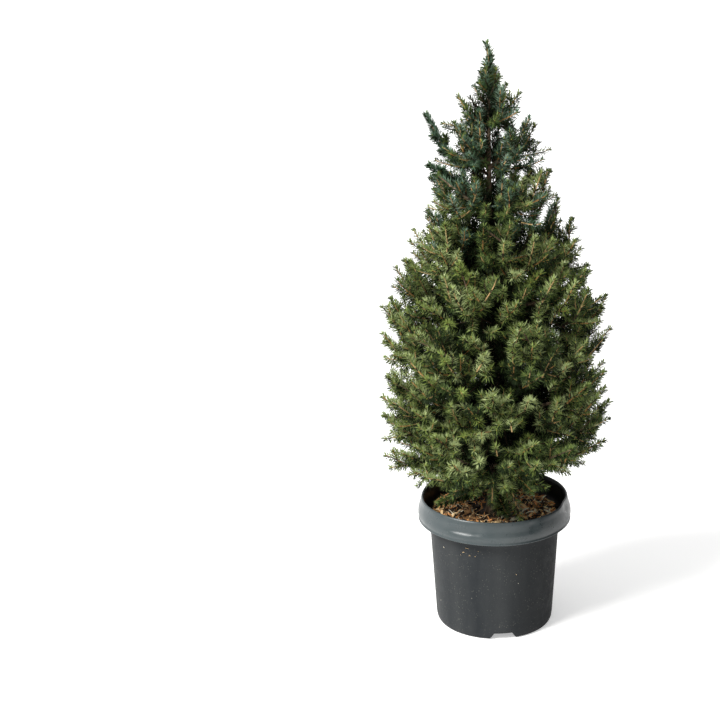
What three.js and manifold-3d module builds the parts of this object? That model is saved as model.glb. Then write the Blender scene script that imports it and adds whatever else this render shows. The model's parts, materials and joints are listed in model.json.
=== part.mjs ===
// A dwarf Alberta spruce in a round nursery pot: a dense cone of foliage on one straight trunk.
//
// Millimetres, +Z up. The origin is the middle of the pot's foot, on the surface it stands on.
// +X is to the right and -Y is towards the viewer. Azimuths are degrees from +X towards +Y.
//
// The pot holds a bed of bark mulch, the trunk rises from a flat cut on the bed to the leader, and
// the main boughs leave the trunk and end where they meet their mass of foliage. The masses stand
// in tiers. Each is a closed, uneven body round its own heart, kept apart from its neighbours by
// the planes half way between the hearts, and held inside the crown's outline.

import * as THREE from "three";
import { mergeVertices } from "three/addons/utils/BufferGeometryUtils.js";
import Module from "manifold-3d";

// Pot
const POT_HEIGHT = 184;
const POT_SEGMENTS = 28;
const WALL = 2;
const FOOT_RADIUS = 78;
const FOOT_RING_INNER = 67;
const WALL_FOOT_RADIUS = 81.5;
const WALL_TOP_RADIUS = 90;
const SHOULDER_HEIGHT = 146;
const SHOULDER_RADIUS = 97;
const RIM_RADIUS = 100.5;
const COLLAR_RADIUS = 106;
const COLLAR_DEPTH = 32;
const FLOOR_UNDERSIDE = 7;
const NOTCH_COUNT = 3;
const NOTCH_FIRST_AZIMUTH = -81;
const NOTCH_WIDTH = 38;
const NOTCH_TOP_WIDTH = 25;
const NOTCH_HEIGHT = 8;

// Bed of bark mulch in the pot
const BED_HEIGHT = 158;
const BED_SEGMENTS = 16;
const BED_UNEVENNESS = 2.4;

// Trunk
const TREE_TOP = 811;
const TRUNK_TOP = 786;
const TRUNK_LEAN = -9;
const TRUNK_SWAY = 2.5;
const TRUNK_RADIUS = 9;
const TRUNK_TIP_RADIUS = 1.3;
const FLARE_RADIUS = 14;
const FLARE_HEIGHT = 26;
const TRUNK_SIDES = 10;
const TRUNK_STEPS = 10;

// Boughs
const BOUGH_TIERS = 2;
const BOUGH_RADIUS = 3.4;
const BOUGH_TIP_RADIUS = 2;
const BOUGH_DROP = 30;
const BOUGH_SIDES = 6;
const BOUGH_STEPS = 3;

// Crown: the outline's mean radius at each height, from the underside up to the leader
const CROWN_OUTLINE = [
  [176, 14],
  [188, 60],
  [212, 112],
  [240, 143],
  [285, 156],
  [430, 153],
  [480, 141],
  [530, 119],
  [620, 84],
  [690, 66],
  [735, 44],
  [765, 24],
  [TREE_TOP, 3],
];
const MOST_REACH = 96;
const LEAST_REACH = 4;

// Tiers of foliage from the skirt up: height of the hearts, how many, how far out they stand, the
// azimuth of the first, and the clear gap between two masses of the same tier
const TIERS = [
  { height: 262, count: 6, ring: 90, start: 0, gap: 4 },
  { height: 338, count: 6, ring: 92, start: 30, gap: 4 },
  { height: 412, count: 6, ring: 89, start: 2, gap: 5 },
  { height: 484, count: 5, ring: 74, start: 36, gap: 4 },
  { height: 551, count: 5, ring: 57, start: 0, gap: 4 },
  { height: 614, count: 4, ring: 43, start: 45, gap: 9 },
  { height: 676, count: 4, ring: 29, start: 45, gap: 12 },
];
const TIER_GAP = 3;
const TIER_OFFSET = 4;
const LEADER_HEART = 728;
const HEART_JITTER = 5;
const TRUNK_CLEARANCE = 8;

// The lobes that make a mass uneven
const LOBE_COUNT = 12;
const LOBE_SIZE = 0.14;
const LOBE_COSINE = 0.86;
const RAGGEDNESS = 0.2;
const BASE_FULLNESS = 0.74;
const MOST_FULLNESS = 1.02;

// Single shoots that stand out past their mass: azimuth, distance from the pot's axis, height
const STANDING_SHOOTS = [
  [180, 36, 760],
  [180, 51, 739],
  [0, 18, 746],
  [0, 40, 727],
  [0, 55, 702],
  [0, 75, 668],
  [0, 84, 606],
  [0, 110, 564],
  [0, 142, 467],
  [0, 151, 379],
  [0, 138, 252],
  [180, 73, 603],
  [180, 98, 540],
  [180, 119, 519],
  [180, 141, 481],
  [180, 143, 398],
  [180, 155, 289],
  [180, 149, 243],
];

// Long plumes with sky round them: azimuth, then distance and height of the foot and of the tip
const PLUMES = [
  { name: "foliage_leader_tip", azimuth: 180, foot: [5, 738], tip: [10, TREE_TOP], radius: 12 },
  { name: "foliage_plume_high", azimuth: 178, foot: [44, 632], tip: [90, 718], radius: 11 },
  { name: "foliage_plume_low", azimuth: 196, foot: [50, 622], tip: [90, 656], radius: 10 },
  { name: "foliage_low_left", azimuth: 211, foot: [26, 195], tip: [90, 188], radius: 13 },
  { name: "foliage_low_front", azimuth: 285, foot: [20, 190], tip: [66, 181], radius: 13 },
];

// Clear gap left where two bodies meet
const SEAM = 0.4;

const FOLIAGE = new THREE.MeshStandardMaterial({ color: 0x33492b, roughness: 0.85, metalness: 0 });
const BARK = new THREE.MeshStandardMaterial({ color: 0x6b5138, roughness: 0.9, metalness: 0 });
const MULCH = new THREE.MeshStandardMaterial({ color: 0x5a3c26, roughness: 0.95, metalness: 0 });
const POT_PLASTIC = new THREE.MeshStandardMaterial({ color: 0x46494c, roughness: 0.55, metalness: 0 });

const wasm = await Module();
wasm.setup();

const { degToRad, lerp, mapLinear, clamp } = THREE.MathUtils;

// A repeatable stream of numbers from 0 to 1.
function seeded(seed) {
  let state = seed >>> 0;
  return () => {
    state = (Math.imul(state, 1664525) + 1013904223) >>> 0;
    return state / 4294967296;
  };
}

// ---------- closed bodies ----------

function closedMesh(geometry) {
  const bare = geometry.clone();
  bare.deleteAttribute("normal");
  bare.deleteAttribute("uv");
  return mergeVertices(bare, 1e-3);
}

function toSolid(geometry) {
  const mesh = closedMesh(geometry);
  return new wasm.Manifold(
    new wasm.Mesh({
      numProp: 3,
      vertProperties: new Float32Array(mesh.attributes.position.array),
      triVerts: new Uint32Array(mesh.index.array),
    }),
  );
}

function toGeometry(solid) {
  const mesh = solid.getMesh();
  const geometry = new THREE.BufferGeometry();
  geometry.setAttribute("position", new THREE.BufferAttribute(new Float32Array(mesh.vertProperties), 3));
  geometry.setIndex(new THREE.BufferAttribute(new Uint32Array(mesh.triVerts), 1));
  return geometry;
}

// The biggest single body of a solid, so that a cut leaves no crumbs.
function biggest(solid) {
  const bodies = solid.decompose();
  return bodies.reduce((best, body) => (body.volume() > best.volume() ? body : best));
}

// Moves every vertex of a geometry to where place(vertex) says.
function reshape(geometry, place) {
  const shaped = closedMesh(geometry);
  const position = shaped.attributes.position;
  const vertex = new THREE.Vector3();
  for (let i = 0; i < position.count; i++) {
    const moved = place(vertex.fromBufferAttribute(position, i));
    position.setXYZ(i, moved.x, moved.y, moved.z);
  }
  return shaped;
}

// A limb: a cylinder whose rings are strung along a curve, radiusAt(0..1) wide.
function limb(curve, radiusAt, sides, steps) {
  const rod = new THREE.CylinderGeometry(1, 1, 1, sides, steps);
  const side = new THREE.Vector3(0, 1, 0);
  return reshape(rod, (vertex) => {
    const along = clamp(vertex.y + 0.5, 0, 1);
    const direction = curve.getTangentAt(along);
    const across = new THREE.Vector3().crossVectors(side, direction).normalize();
    const over = new THREE.Vector3().crossVectors(direction, across);
    return curve
      .getPointAt(along)
      .addScaledVector(across, -vertex.x * radiusAt(along))
      .addScaledVector(over, vertex.z * radiusAt(along));
  });
}

// ---------- pot and bed ----------

function lathe(profile, segments) {
  const geometry = new THREE.LatheGeometry(profile, segments);
  return closedMesh(geometry.rotateX(Math.PI / 2));
}

function points(pairs) {
  return pairs.map(([radius, height]) => new THREE.Vector2(Math.max(radius, 0), height));
}

function potGeometry() {
  const collarFoot = POT_HEIGHT - COLLAR_DEPTH;
  const floorTop = FLOOR_UNDERSIDE + WALL;
  const shell = lathe(
    points([
      [0, FLOOR_UNDERSIDE],
      [FOOT_RING_INNER, FLOOR_UNDERSIDE],
      [FOOT_RING_INNER + 1, 0],
      [FOOT_RADIUS, 0],
      [WALL_FOOT_RADIUS - 0.3, 5],
      [WALL_TOP_RADIUS, SHOULDER_HEIGHT],
      [SHOULDER_RADIUS, SHOULDER_HEIGHT + 6],
      [SHOULDER_RADIUS + 1.5, POT_HEIGHT - 5],
      [COLLAR_RADIUS - 4, POT_HEIGHT - 12],
      [COLLAR_RADIUS - WALL, collarFoot + 8],
      [COLLAR_RADIUS - WALL - 0.6, collarFoot],
      [COLLAR_RADIUS - 0.8, collarFoot],
      [COLLAR_RADIUS, collarFoot + 8],
      [COLLAR_RADIUS - 2, POT_HEIGHT - 8],
      [RIM_RADIUS + 1.5, POT_HEIGHT - 1],
      [RIM_RADIUS, POT_HEIGHT],
      [RIM_RADIUS - WALL, POT_HEIGHT - 1],
      [SHOULDER_RADIUS - WALL, SHOULDER_HEIGHT + 8],
      [WALL_TOP_RADIUS - WALL, SHOULDER_HEIGHT + 1],
      [WALL_FOOT_RADIUS - WALL, floorTop],
      [0, floorTop],
    ]),
    POT_SEGMENTS,
  );
  let pot = toSolid(shell);
  for (let i = 0; i < NOTCH_COUNT; i++) {
    pot = pot.subtract(toSolid(notchCutter(NOTCH_FIRST_AZIMUTH + (i * 360) / NOTCH_COUNT)));
  }
  return toGeometry(biggest(pot));
}

// A drain notch with slanted sides, cut inwards through the foot ring.
function notchCutter(azimuth) {
  const outline = new THREE.Shape([
    new THREE.Vector2(-NOTCH_WIDTH / 2, -1),
    new THREE.Vector2(NOTCH_WIDTH / 2, -1),
    new THREE.Vector2(NOTCH_TOP_WIDTH / 2, NOTCH_HEIGHT),
    new THREE.Vector2(-NOTCH_TOP_WIDTH / 2, NOTCH_HEIGHT),
  ]);
  const inner = FOOT_RING_INNER - 3;
  const cutter = new THREE.ExtrudeGeometry(outline, {
    depth: WALL_FOOT_RADIUS + 4 - inner,
    bevelEnabled: false,
  });
  cutter.rotateX(Math.PI / 2);
  cutter.translate(0, -inner, 0);
  return cutter.rotateZ(degToRad(azimuth + 90));
}

function bedGeometry() {
  const floorTop = FLOOR_UNDERSIDE + WALL + SEAM;
  const inset = WALL + SEAM * 3;
  const bed = lathe(
    points([
      [0, floorTop],
      [WALL_FOOT_RADIUS - inset, floorTop],
      [WALL_TOP_RADIUS - inset, SHOULDER_HEIGHT],
      [SHOULDER_RADIUS - inset - 1.5, SHOULDER_HEIGHT + 8],
      [SHOULDER_RADIUS - inset - 6, BED_HEIGHT - 1],
      [60, BED_HEIGHT],
      [30, BED_HEIGHT + 1],
      [FLARE_RADIUS + 3, BED_HEIGHT],
      [0, BED_HEIGHT],
    ]),
    BED_SEGMENTS,
  );
  return reshape(bed, (vertex) => {
    const out = Math.hypot(vertex.x, vertex.y);
    const loose = vertex.z > BED_HEIGHT - 2 && out > FLARE_RADIUS + 5;
    const lift = loose ? Math.sin(vertex.x * 0.11 + 1) * Math.cos(vertex.y * 0.13) : 0;
    vertex.z += lift * BED_UNEVENNESS;
    return vertex;
  });
}

// ---------- trunk and boughs ----------

function trunkCentre(height) {
  const up = (height - BED_HEIGHT) / (TREE_TOP - BED_HEIGHT);
  const x = TRUNK_LEAN * up * up + TRUNK_SWAY * Math.sin(up * Math.PI * 2.3);
  const y = TRUNK_SWAY * Math.sin(up * Math.PI * 1.7) * up;
  return new THREE.Vector3(x, y, height);
}

function trunkRadius(height) {
  const foot = BED_HEIGHT + SEAM;
  const taper = mapLinear(height, foot, TRUNK_TOP, TRUNK_RADIUS, TRUNK_TIP_RADIUS);
  const flare = Math.max(0, 1 - (height - foot) / FLARE_HEIGHT);
  return taper + (FLARE_RADIUS - TRUNK_RADIUS) * flare * flare;
}

// The trunk, or with extra width the space that is cut for it.
function trunkGeometry(extra) {
  const foot = BED_HEIGHT + SEAM;
  const rod = new THREE.CylinderGeometry(1, 1, 1, TRUNK_SIDES, TRUNK_STEPS);
  return reshape(rod, (vertex) => {
    const along = clamp(vertex.y + 0.5, 0, 1);
    const height = lerp(foot, TRUNK_TOP, Math.pow(along, 1.25));
    const radius = trunkRadius(height) + extra;
    const centre = trunkCentre(height);
    const end = along === 1 ? extra : 0;
    return new THREE.Vector3(
      centre.x + vertex.x * radius,
      centre.y - vertex.z * radius,
      height + end,
    );
  });
}

// A bough leaves the trunk below its mass, rises in a shallow curve, and runs in to the heart.
function boughGeometry(mass, extra) {
  const foot = trunkCentre(mass.heart.z - BOUGH_DROP);
  const bend = foot.clone().lerp(mass.heart, 0.5);
  bend.z -= BOUGH_DROP / 5;
  const curve = new THREE.QuadraticBezierCurve3(foot, bend, mass.heart);
  const radiusAt = (along) => lerp(BOUGH_RADIUS, BOUGH_TIP_RADIUS, along) + extra;
  return limb(curve, radiusAt, BOUGH_SIDES, BOUGH_STEPS);
}

// ---------- foliage ----------

function crownRadius(height) {
  const last = CROWN_OUTLINE.length - 1;
  if (height <= CROWN_OUTLINE[0][0] || height >= CROWN_OUTLINE[last][0]) {
    return 0;
  }
  const next = CROWN_OUTLINE.findIndex(([level]) => level > height);
  const [lowLevel, lowRadius] = CROWN_OUTLINE[next - 1];
  const [highLevel, highRadius] = CROWN_OUTLINE[next];
  return mapLinear(height, lowLevel, highLevel, lowRadius, highRadius);
}

function outward(azimuth) {
  return new THREE.Vector3(Math.cos(degToRad(azimuth)), Math.sin(degToRad(azimuth)), 0);
}

// The hearts of all the masses, tier by tier, with the leader last.
function planMasses() {
  const random = seeded(41);
  const jitter = () => (random() - 0.5) * 2 * HEART_JITTER;
  const masses = [];
  TIERS.forEach((tier, level) => {
    for (let i = 0; i < tier.count; i++) {
      const azimuth = tier.start + (i * 360) / tier.count + jitter();
      const heart = trunkCentre(tier.height + jitter());
      heart.addScaledVector(outward(azimuth), tier.ring + jitter());
      heart.x += TIER_OFFSET * (level / TIERS.length);
      masses.push({
        name: `foliage_${level + 1}_${i + 1}`,
        level,
        azimuth,
        heart,
        gap: tier.gap,
      });
    }
  });
  const heart = trunkCentre(LEADER_HEART);
  masses.push({ name: "foliage_leader", level: TIERS.length, azimuth: 0, heart, gap: TIER_GAP });
  return masses;
}

// How far a mass may reach from its heart along a direction before it leaves the crown's outline.
function reachToOutline(mass, direction) {
  const step = 1.5;
  const probe = mass.heart.clone();
  for (let reach = 0; reach < MOST_REACH; reach += step) {
    const axis = trunkCentre(probe.z);
    const out = Math.hypot(probe.x - axis.x * 0.6, probe.y - axis.y);
    if (out > crownRadius(probe.z)) {
      return reach;
    }
    probe.addScaledVector(direction, step);
  }
  return MOST_REACH;
}

// How far it may reach before the plane half way to a neighbour, or the trunk's own space.
function reachToNeighbours(mass, masses, direction) {
  let reach = Infinity;
  for (const other of masses) {
    if (other === mass) {
      continue;
    }
    const between = other.heart.clone().sub(mass.heart);
    const apart = between.length();
    const toward = direction.dot(between) / apart;
    if (toward > 1e-3) {
      const gap = mass.level === other.level ? mass.gap : TIER_GAP;
      reach = Math.min(reach, (apart - gap) / 2 / toward);
    }
  }
  const inward = -direction.dot(outward(mass.azimuth));
  if (mass.level < TIERS.length && inward > 1e-3) {
    const axis = trunkCentre(mass.heart.z);
    const out = Math.hypot(mass.heart.x - axis.x, mass.heart.y - axis.y);
    const bare = trunkRadius(mass.heart.z) + TRUNK_CLEARANCE;
    reach = Math.min(reach, (out - bare) / inward);
  }
  return reach;
}

// A mass of foliage: a ball of facets whose every corner is pushed out from the heart to the
// outline or the neighbours' planes, fuller towards its lobes, which point outwards and up.
function massGeometry(mass, masses, shoots) {
  const random = seeded(1000 + mass.level * 37 + Math.round(mass.azimuth * 3));
  const lobes = [];
  for (let i = 0; i < LOBE_COUNT; i++) {
    const azimuth = mass.azimuth + (random() - 0.5) * 240;
    const lobe = outward(azimuth).setZ(1.7 * random() - 0.35);
    lobes.push({ direction: lobe.normalize(), size: LOBE_SIZE * (0.6 + 0.8 * random()) });
  }
  const turn = new THREE.Quaternion().setFromEuler(
    new THREE.Euler(random() * 6, random() * 6, random() * 6),
  );
  const corner = (vertex) => {
    const direction = vertex.clone().normalize().applyQuaternion(turn);
    let fullness = BASE_FULLNESS + RAGGEDNESS * random();
    for (const lobe of lobes) {
      const near = (direction.dot(lobe.direction) - LOBE_COSINE) / (1 - LOBE_COSINE);
      fullness += lobe.size * clamp(near, 0, 1);
    }
    const free = reachToOutline(mass, direction) * Math.min(fullness, MOST_FULLNESS);
    const reach = Math.min(free, reachToNeighbours(mass, masses, direction));
    return mass.heart.clone().addScaledVector(direction, Math.max(reach, LEAST_REACH));
  };
  const body = reshape(new THREE.IcosahedronGeometry(1, 2), corner);
  const own = shoots.filter((shoot) => nearestMass(shoot, masses) === mass);
  own.forEach((shoot) => pullNearestCorner(body, mass.heart, shoot));
  return body;
}

function nearestMass(point, masses) {
  return masses.reduce((best, mass) =>
    mass.heart.distanceTo(point) < best.heart.distanceTo(point) ? mass : best,
  );
}

// Draws the corner that looks most nearly towards a standing shoot out to the shoot's tip.
function pullNearestCorner(body, heart, tip) {
  const position = body.attributes.position;
  const aim = tip.clone().sub(heart).normalize();
  let nearest = 0;
  let best = -1;
  for (let i = 0; i < position.count; i++) {
    const look = new THREE.Vector3().fromBufferAttribute(position, i).sub(heart).normalize();
    if (look.dot(aim) > best) {
      best = look.dot(aim);
      nearest = i;
    }
  }
  position.setXYZ(nearest, tip.x, tip.y, tip.z);
}

// A plume: one slender, uneven body along the line from its foot to its tip.
function plumeGeometry(plume, extra) {
  const random = seeded(Math.round(plume.azimuth));
  const foot = outward(plume.azimuth).multiplyScalar(plume.foot[0]).setZ(plume.foot[1]);
  const tip = outward(plume.azimuth).multiplyScalar(plume.tip[0]).setZ(plume.tip[1]);
  const length = foot.distanceTo(tip);
  const turn = new THREE.Quaternion().setFromUnitVectors(
    new THREE.Vector3(0, 0, 1),
    tip.clone().sub(foot).normalize(),
  );
  const middle = foot.clone().lerp(tip, 0.5);
  return reshape(new THREE.IcosahedronGeometry(1, 1), (vertex) => {
    const uneven = 0.88 + 0.24 * random();
    const width = (plume.radius * uneven + extra) * (1 - 0.2 * vertex.z);
    const half = length / 2 + extra;
    const local = new THREE.Vector3(vertex.x * width, vertex.y * width, vertex.z * half);
    return local.applyQuaternion(turn).add(middle);
  });
}

// ---------- the plant ----------

const group = new THREE.Group();

function addPart(name, geometry, material) {
  const mesh = new THREE.Mesh(geometry, material);
  mesh.name = name;
  group.add(mesh);
}

const masses = planMasses();
const trunkSpace = toSolid(trunkGeometry(SEAM));
const plumeSpaces = PLUMES.map((plume) => toSolid(plumeGeometry(plume, SEAM * 2)));
const boughMasses = masses.filter((mass) => mass.level < BOUGH_TIERS);
const shoots = STANDING_SHOOTS.map(([azimuth, out, height]) =>
  outward(azimuth).multiplyScalar(out).setZ(height),
);

addPart("pot", potGeometry(), POT_PLASTIC);
addPart("mulch_bed", bedGeometry(), MULCH);
addPart("trunk", trunkGeometry(0), BARK);

for (const mass of masses) {
  let body = toSolid(massGeometry(mass, masses, shoots)).subtract(trunkSpace);
  for (const space of plumeSpaces) {
    body = body.subtract(space);
  }
  mass.solid = biggest(body);
  addPart(mass.name, toGeometry(mass.solid), FOLIAGE);
}

for (const plume of PLUMES) {
  const body = toSolid(plumeGeometry(plume, 0)).subtract(trunkSpace);
  addPart(plume.name, toGeometry(biggest(body)), FOLIAGE);
}

// Each bough stops at the skin of its own mass, with the seam's gap.
for (const mass of boughMasses) {
  let bough = toSolid(boughGeometry(mass, 0)).subtract(trunkSpace);
  for (const other of masses) {
    bough = bough.subtract(other.solid);
  }
  addPart(mass.name.replace("foliage", "bough"), toGeometry(biggest(bough)), BARK);
}

export default group;
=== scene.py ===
"""Looks of a potted Alberta spruce: a dense, conical dwarf conifer in a round nursery pot.

Metres, +Z up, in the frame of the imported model. The plant grows by one seeded rule. A bough leaves
the trunk for every mass of foliage, arms fork from it to the mass's outer corners, shoots leave the
arms in a spiral, and every shoot carries its own needles. Each limb stays inside the solid that it
stands for, so crown, gaps and single tips keep the places that the frame gives them.
"""

import json
import logging
import math
from dataclasses import dataclass, field
from enum import Enum

import bpy
import numpy as np
from mathutils import Matrix, Vector, noise
from mathutils.bvhtree import BVHTree

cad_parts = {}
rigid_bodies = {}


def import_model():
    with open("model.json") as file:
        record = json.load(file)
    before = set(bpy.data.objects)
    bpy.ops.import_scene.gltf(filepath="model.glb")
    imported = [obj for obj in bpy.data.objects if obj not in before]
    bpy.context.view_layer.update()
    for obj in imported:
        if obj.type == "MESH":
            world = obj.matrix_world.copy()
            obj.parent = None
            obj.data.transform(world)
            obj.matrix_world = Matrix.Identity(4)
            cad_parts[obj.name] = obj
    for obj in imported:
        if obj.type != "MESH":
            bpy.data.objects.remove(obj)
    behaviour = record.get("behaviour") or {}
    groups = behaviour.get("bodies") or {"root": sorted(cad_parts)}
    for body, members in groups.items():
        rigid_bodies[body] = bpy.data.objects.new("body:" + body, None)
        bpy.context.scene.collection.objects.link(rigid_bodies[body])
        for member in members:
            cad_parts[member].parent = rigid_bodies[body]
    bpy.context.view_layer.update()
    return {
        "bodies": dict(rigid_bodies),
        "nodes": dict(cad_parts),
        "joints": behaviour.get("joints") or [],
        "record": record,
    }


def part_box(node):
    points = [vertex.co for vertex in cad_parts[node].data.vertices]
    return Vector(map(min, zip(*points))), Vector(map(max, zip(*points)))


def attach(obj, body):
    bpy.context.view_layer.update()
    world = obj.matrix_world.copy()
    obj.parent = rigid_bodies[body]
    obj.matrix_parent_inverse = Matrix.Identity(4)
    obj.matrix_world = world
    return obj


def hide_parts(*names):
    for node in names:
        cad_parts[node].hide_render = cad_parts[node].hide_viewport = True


LOG = logging.getLogger("spruce")
SEED = 2207
BODY = "root"
UP = np.array([0.0, 0.0, 1.0])
GOLDEN_ANGLE = math.pi * (3.0 - math.sqrt(5.0))
PIECE_LIMIT = 196_000

Array = np.ndarray
Colour = tuple[float, float, float]


# ---------------------------------------------------------------------------------------------
# Small vector helpers
# ---------------------------------------------------------------------------------------------


def unit(vectors: Array) -> Array:
    """Scale vectors to length one.

    Args:
        vectors: One vector, or an array with one vector in each row.

    Returns:
        The same shape, with every vector of length one.
    """
    size = np.linalg.norm(vectors, axis=-1, keepdims=True)
    return vectors / np.maximum(size, 1e-12)


def outward(point: Array) -> Array:
    """Level direction from the pot's axis towards a point."""
    return unit(np.array([point[0], point[1], 0.0]) + np.array([1e-9, 0.0, 0.0]))


def side_frames(points: Array) -> tuple[Array, Array, Array]:
    """Frames along a line of points.

    Args:
        points: The line, one point in each row.

    Returns:
        Tangents and two unit vectors across them, each with one row for each point.
    """
    tangents = unit(np.gradient(points, axis=0))
    reference = np.eye(3)[np.argmin(np.abs(tangents).mean(axis=0))]
    across = unit(np.cross(tangents, reference))
    return tangents, across, np.cross(tangents, across)


def bent_line(start: Array, leave: Array, end: Array, arrive: Array, step: float) -> Array:
    """A smooth line that leaves and arrives in given directions.

    Args:
        start: First point.
        leave: Unit direction at the first point.
        end: Last point.
        arrive: Unit direction at the last point.
        step: Rough distance between points.

    Returns:
        The line's points.
    """
    reach = np.linalg.norm(end - start)
    count = max(4, int(round(reach / step)) + 1)
    t = np.linspace(0.0, 1.0, count)[:, None]
    first, second = start + leave * reach * 0.36, end - arrive * reach * 0.36
    return (
        start * (1 - t) ** 3
        + first * 3 * t * (1 - t) ** 2
        + second * 3 * t**2 * (1 - t)
        + end * t**3
    )


def line_through(controls: list[Array], step: float) -> Array:
    """A smooth line through control points.

    Args:
        controls: Points that the line passes through.
        step: Rough distance between the line's points.

    Returns:
        The line's points.
    """
    knots = np.array([controls[0] * 2 - controls[1], *controls, controls[-1] * 2 - controls[-2]])
    runs = []
    for before, here, there, after in zip(knots[:-3], knots[1:-2], knots[2:-1], knots[3:]):
        count = max(2, int(round(np.linalg.norm(there - here) / step)))
        t = np.linspace(0.0, 1.0, count, endpoint=False)[:, None]
        bend = 2 * here + (there - before) * t
        bend = bend + (2 * before - 5 * here + 4 * there - after) * t**2
        runs.append(0.5 * (bend + (3 * here - before - 3 * there + after) * t**3))
    return np.vstack([*runs, controls[-1]])


# ---------------------------------------------------------------------------------------------
# Finishes
# ---------------------------------------------------------------------------------------------


@dataclass(frozen=True)
class PlainFinish:
    """One plain tint for small things that are dealt their colours spray by spray."""

    name: str
    colour: Colour
    roughness: float = 0.5
    specular: float = 0.4

    def material(self) -> bpy.types.Material:
        """The tint as a material."""
        made = bpy.data.materials.new(self.name)
        made.use_nodes = True
        shader = made.node_tree.nodes["Principled BSDF"]
        shader.inputs["Base Color"].default_value = (*self.colour, 1.0)
        shader.inputs["Roughness"].default_value = self.roughness
        shader.inputs["Specular IOR Level"].default_value = self.specular
        made.diffuse_color = (*self.colour, 1.0)
        return made


class Needle(Enum):
    """Tints that needles are dealt; SHADE and DEEP are painted shade."""

    # SHADE and DEEP: near-black greens put on needles inside the crown, under shoots and at their feet, as painted
    # shade.
    SHADE = PlainFinish("needle_shade", (0.003, 0.006, 0.002), 0.8, 0.08)
    DEEP = PlainFinish("needle_deep", (0.013, 0.024, 0.007), 0.6, 0.15)
    MOSS = PlainFinish("needle_moss", (0.066, 0.106, 0.028), 0.5, 0.25)
    OLIVE = PlainFinish("needle_olive", (0.160, 0.214, 0.058), 0.48, 0.28)
    FRESH = PlainFinish("needle_fresh", (0.225, 0.295, 0.072), 0.45, 0.3)
    # GREY and BLUE: partly the needles' own colour, partly painted sunlight, as the paler steps that upward-facing and
    # left-side needles take.
    GREY = PlainFinish("needle_grey_green", (0.325, 0.390, 0.165), 0.45, 0.35)
    TEAL = PlainFinish("needle_teal", (0.054, 0.108, 0.058), 0.48, 0.3)
    BLUE = PlainFinish("needle_blue_grey", (0.160, 0.245, 0.170), 0.45, 0.35)


class Stem(Enum):
    """Tints of twigs and buds."""

    OLD = PlainFinish("twig_old_brown", (0.040, 0.027, 0.016), 0.8, 0.15)
    TAN = PlainFinish("twig_tan", (0.470, 0.310, 0.140), 0.6, 0.2)
    ORANGE = PlainFinish("twig_orange", (0.400, 0.220, 0.080), 0.6, 0.2)
    BUD = PlainFinish("bud_yellow_green", (0.330, 0.310, 0.070), 0.5, 0.3)


class Chip(Enum):
    """Tints of the bark chips on the bed."""

    # Near-black chips: partly dark bark, partly painted shade between the chips.
    DARK = PlainFinish("chip_dark", (0.035, 0.022, 0.013), 0.9, 0.2)
    BROWN = PlainFinish("chip_brown", (0.330, 0.180, 0.080), 0.85, 0.2)
    RUST = PlainFinish("chip_rust", (0.780, 0.370, 0.140), 0.8, 0.2)
    TAN = PlainFinish("chip_tan", (0.900, 0.640, 0.340), 0.75, 0.2)
    PALE = PlainFinish("chip_pale", (0.920, 0.840, 0.640), 0.7, 0.2)


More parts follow.
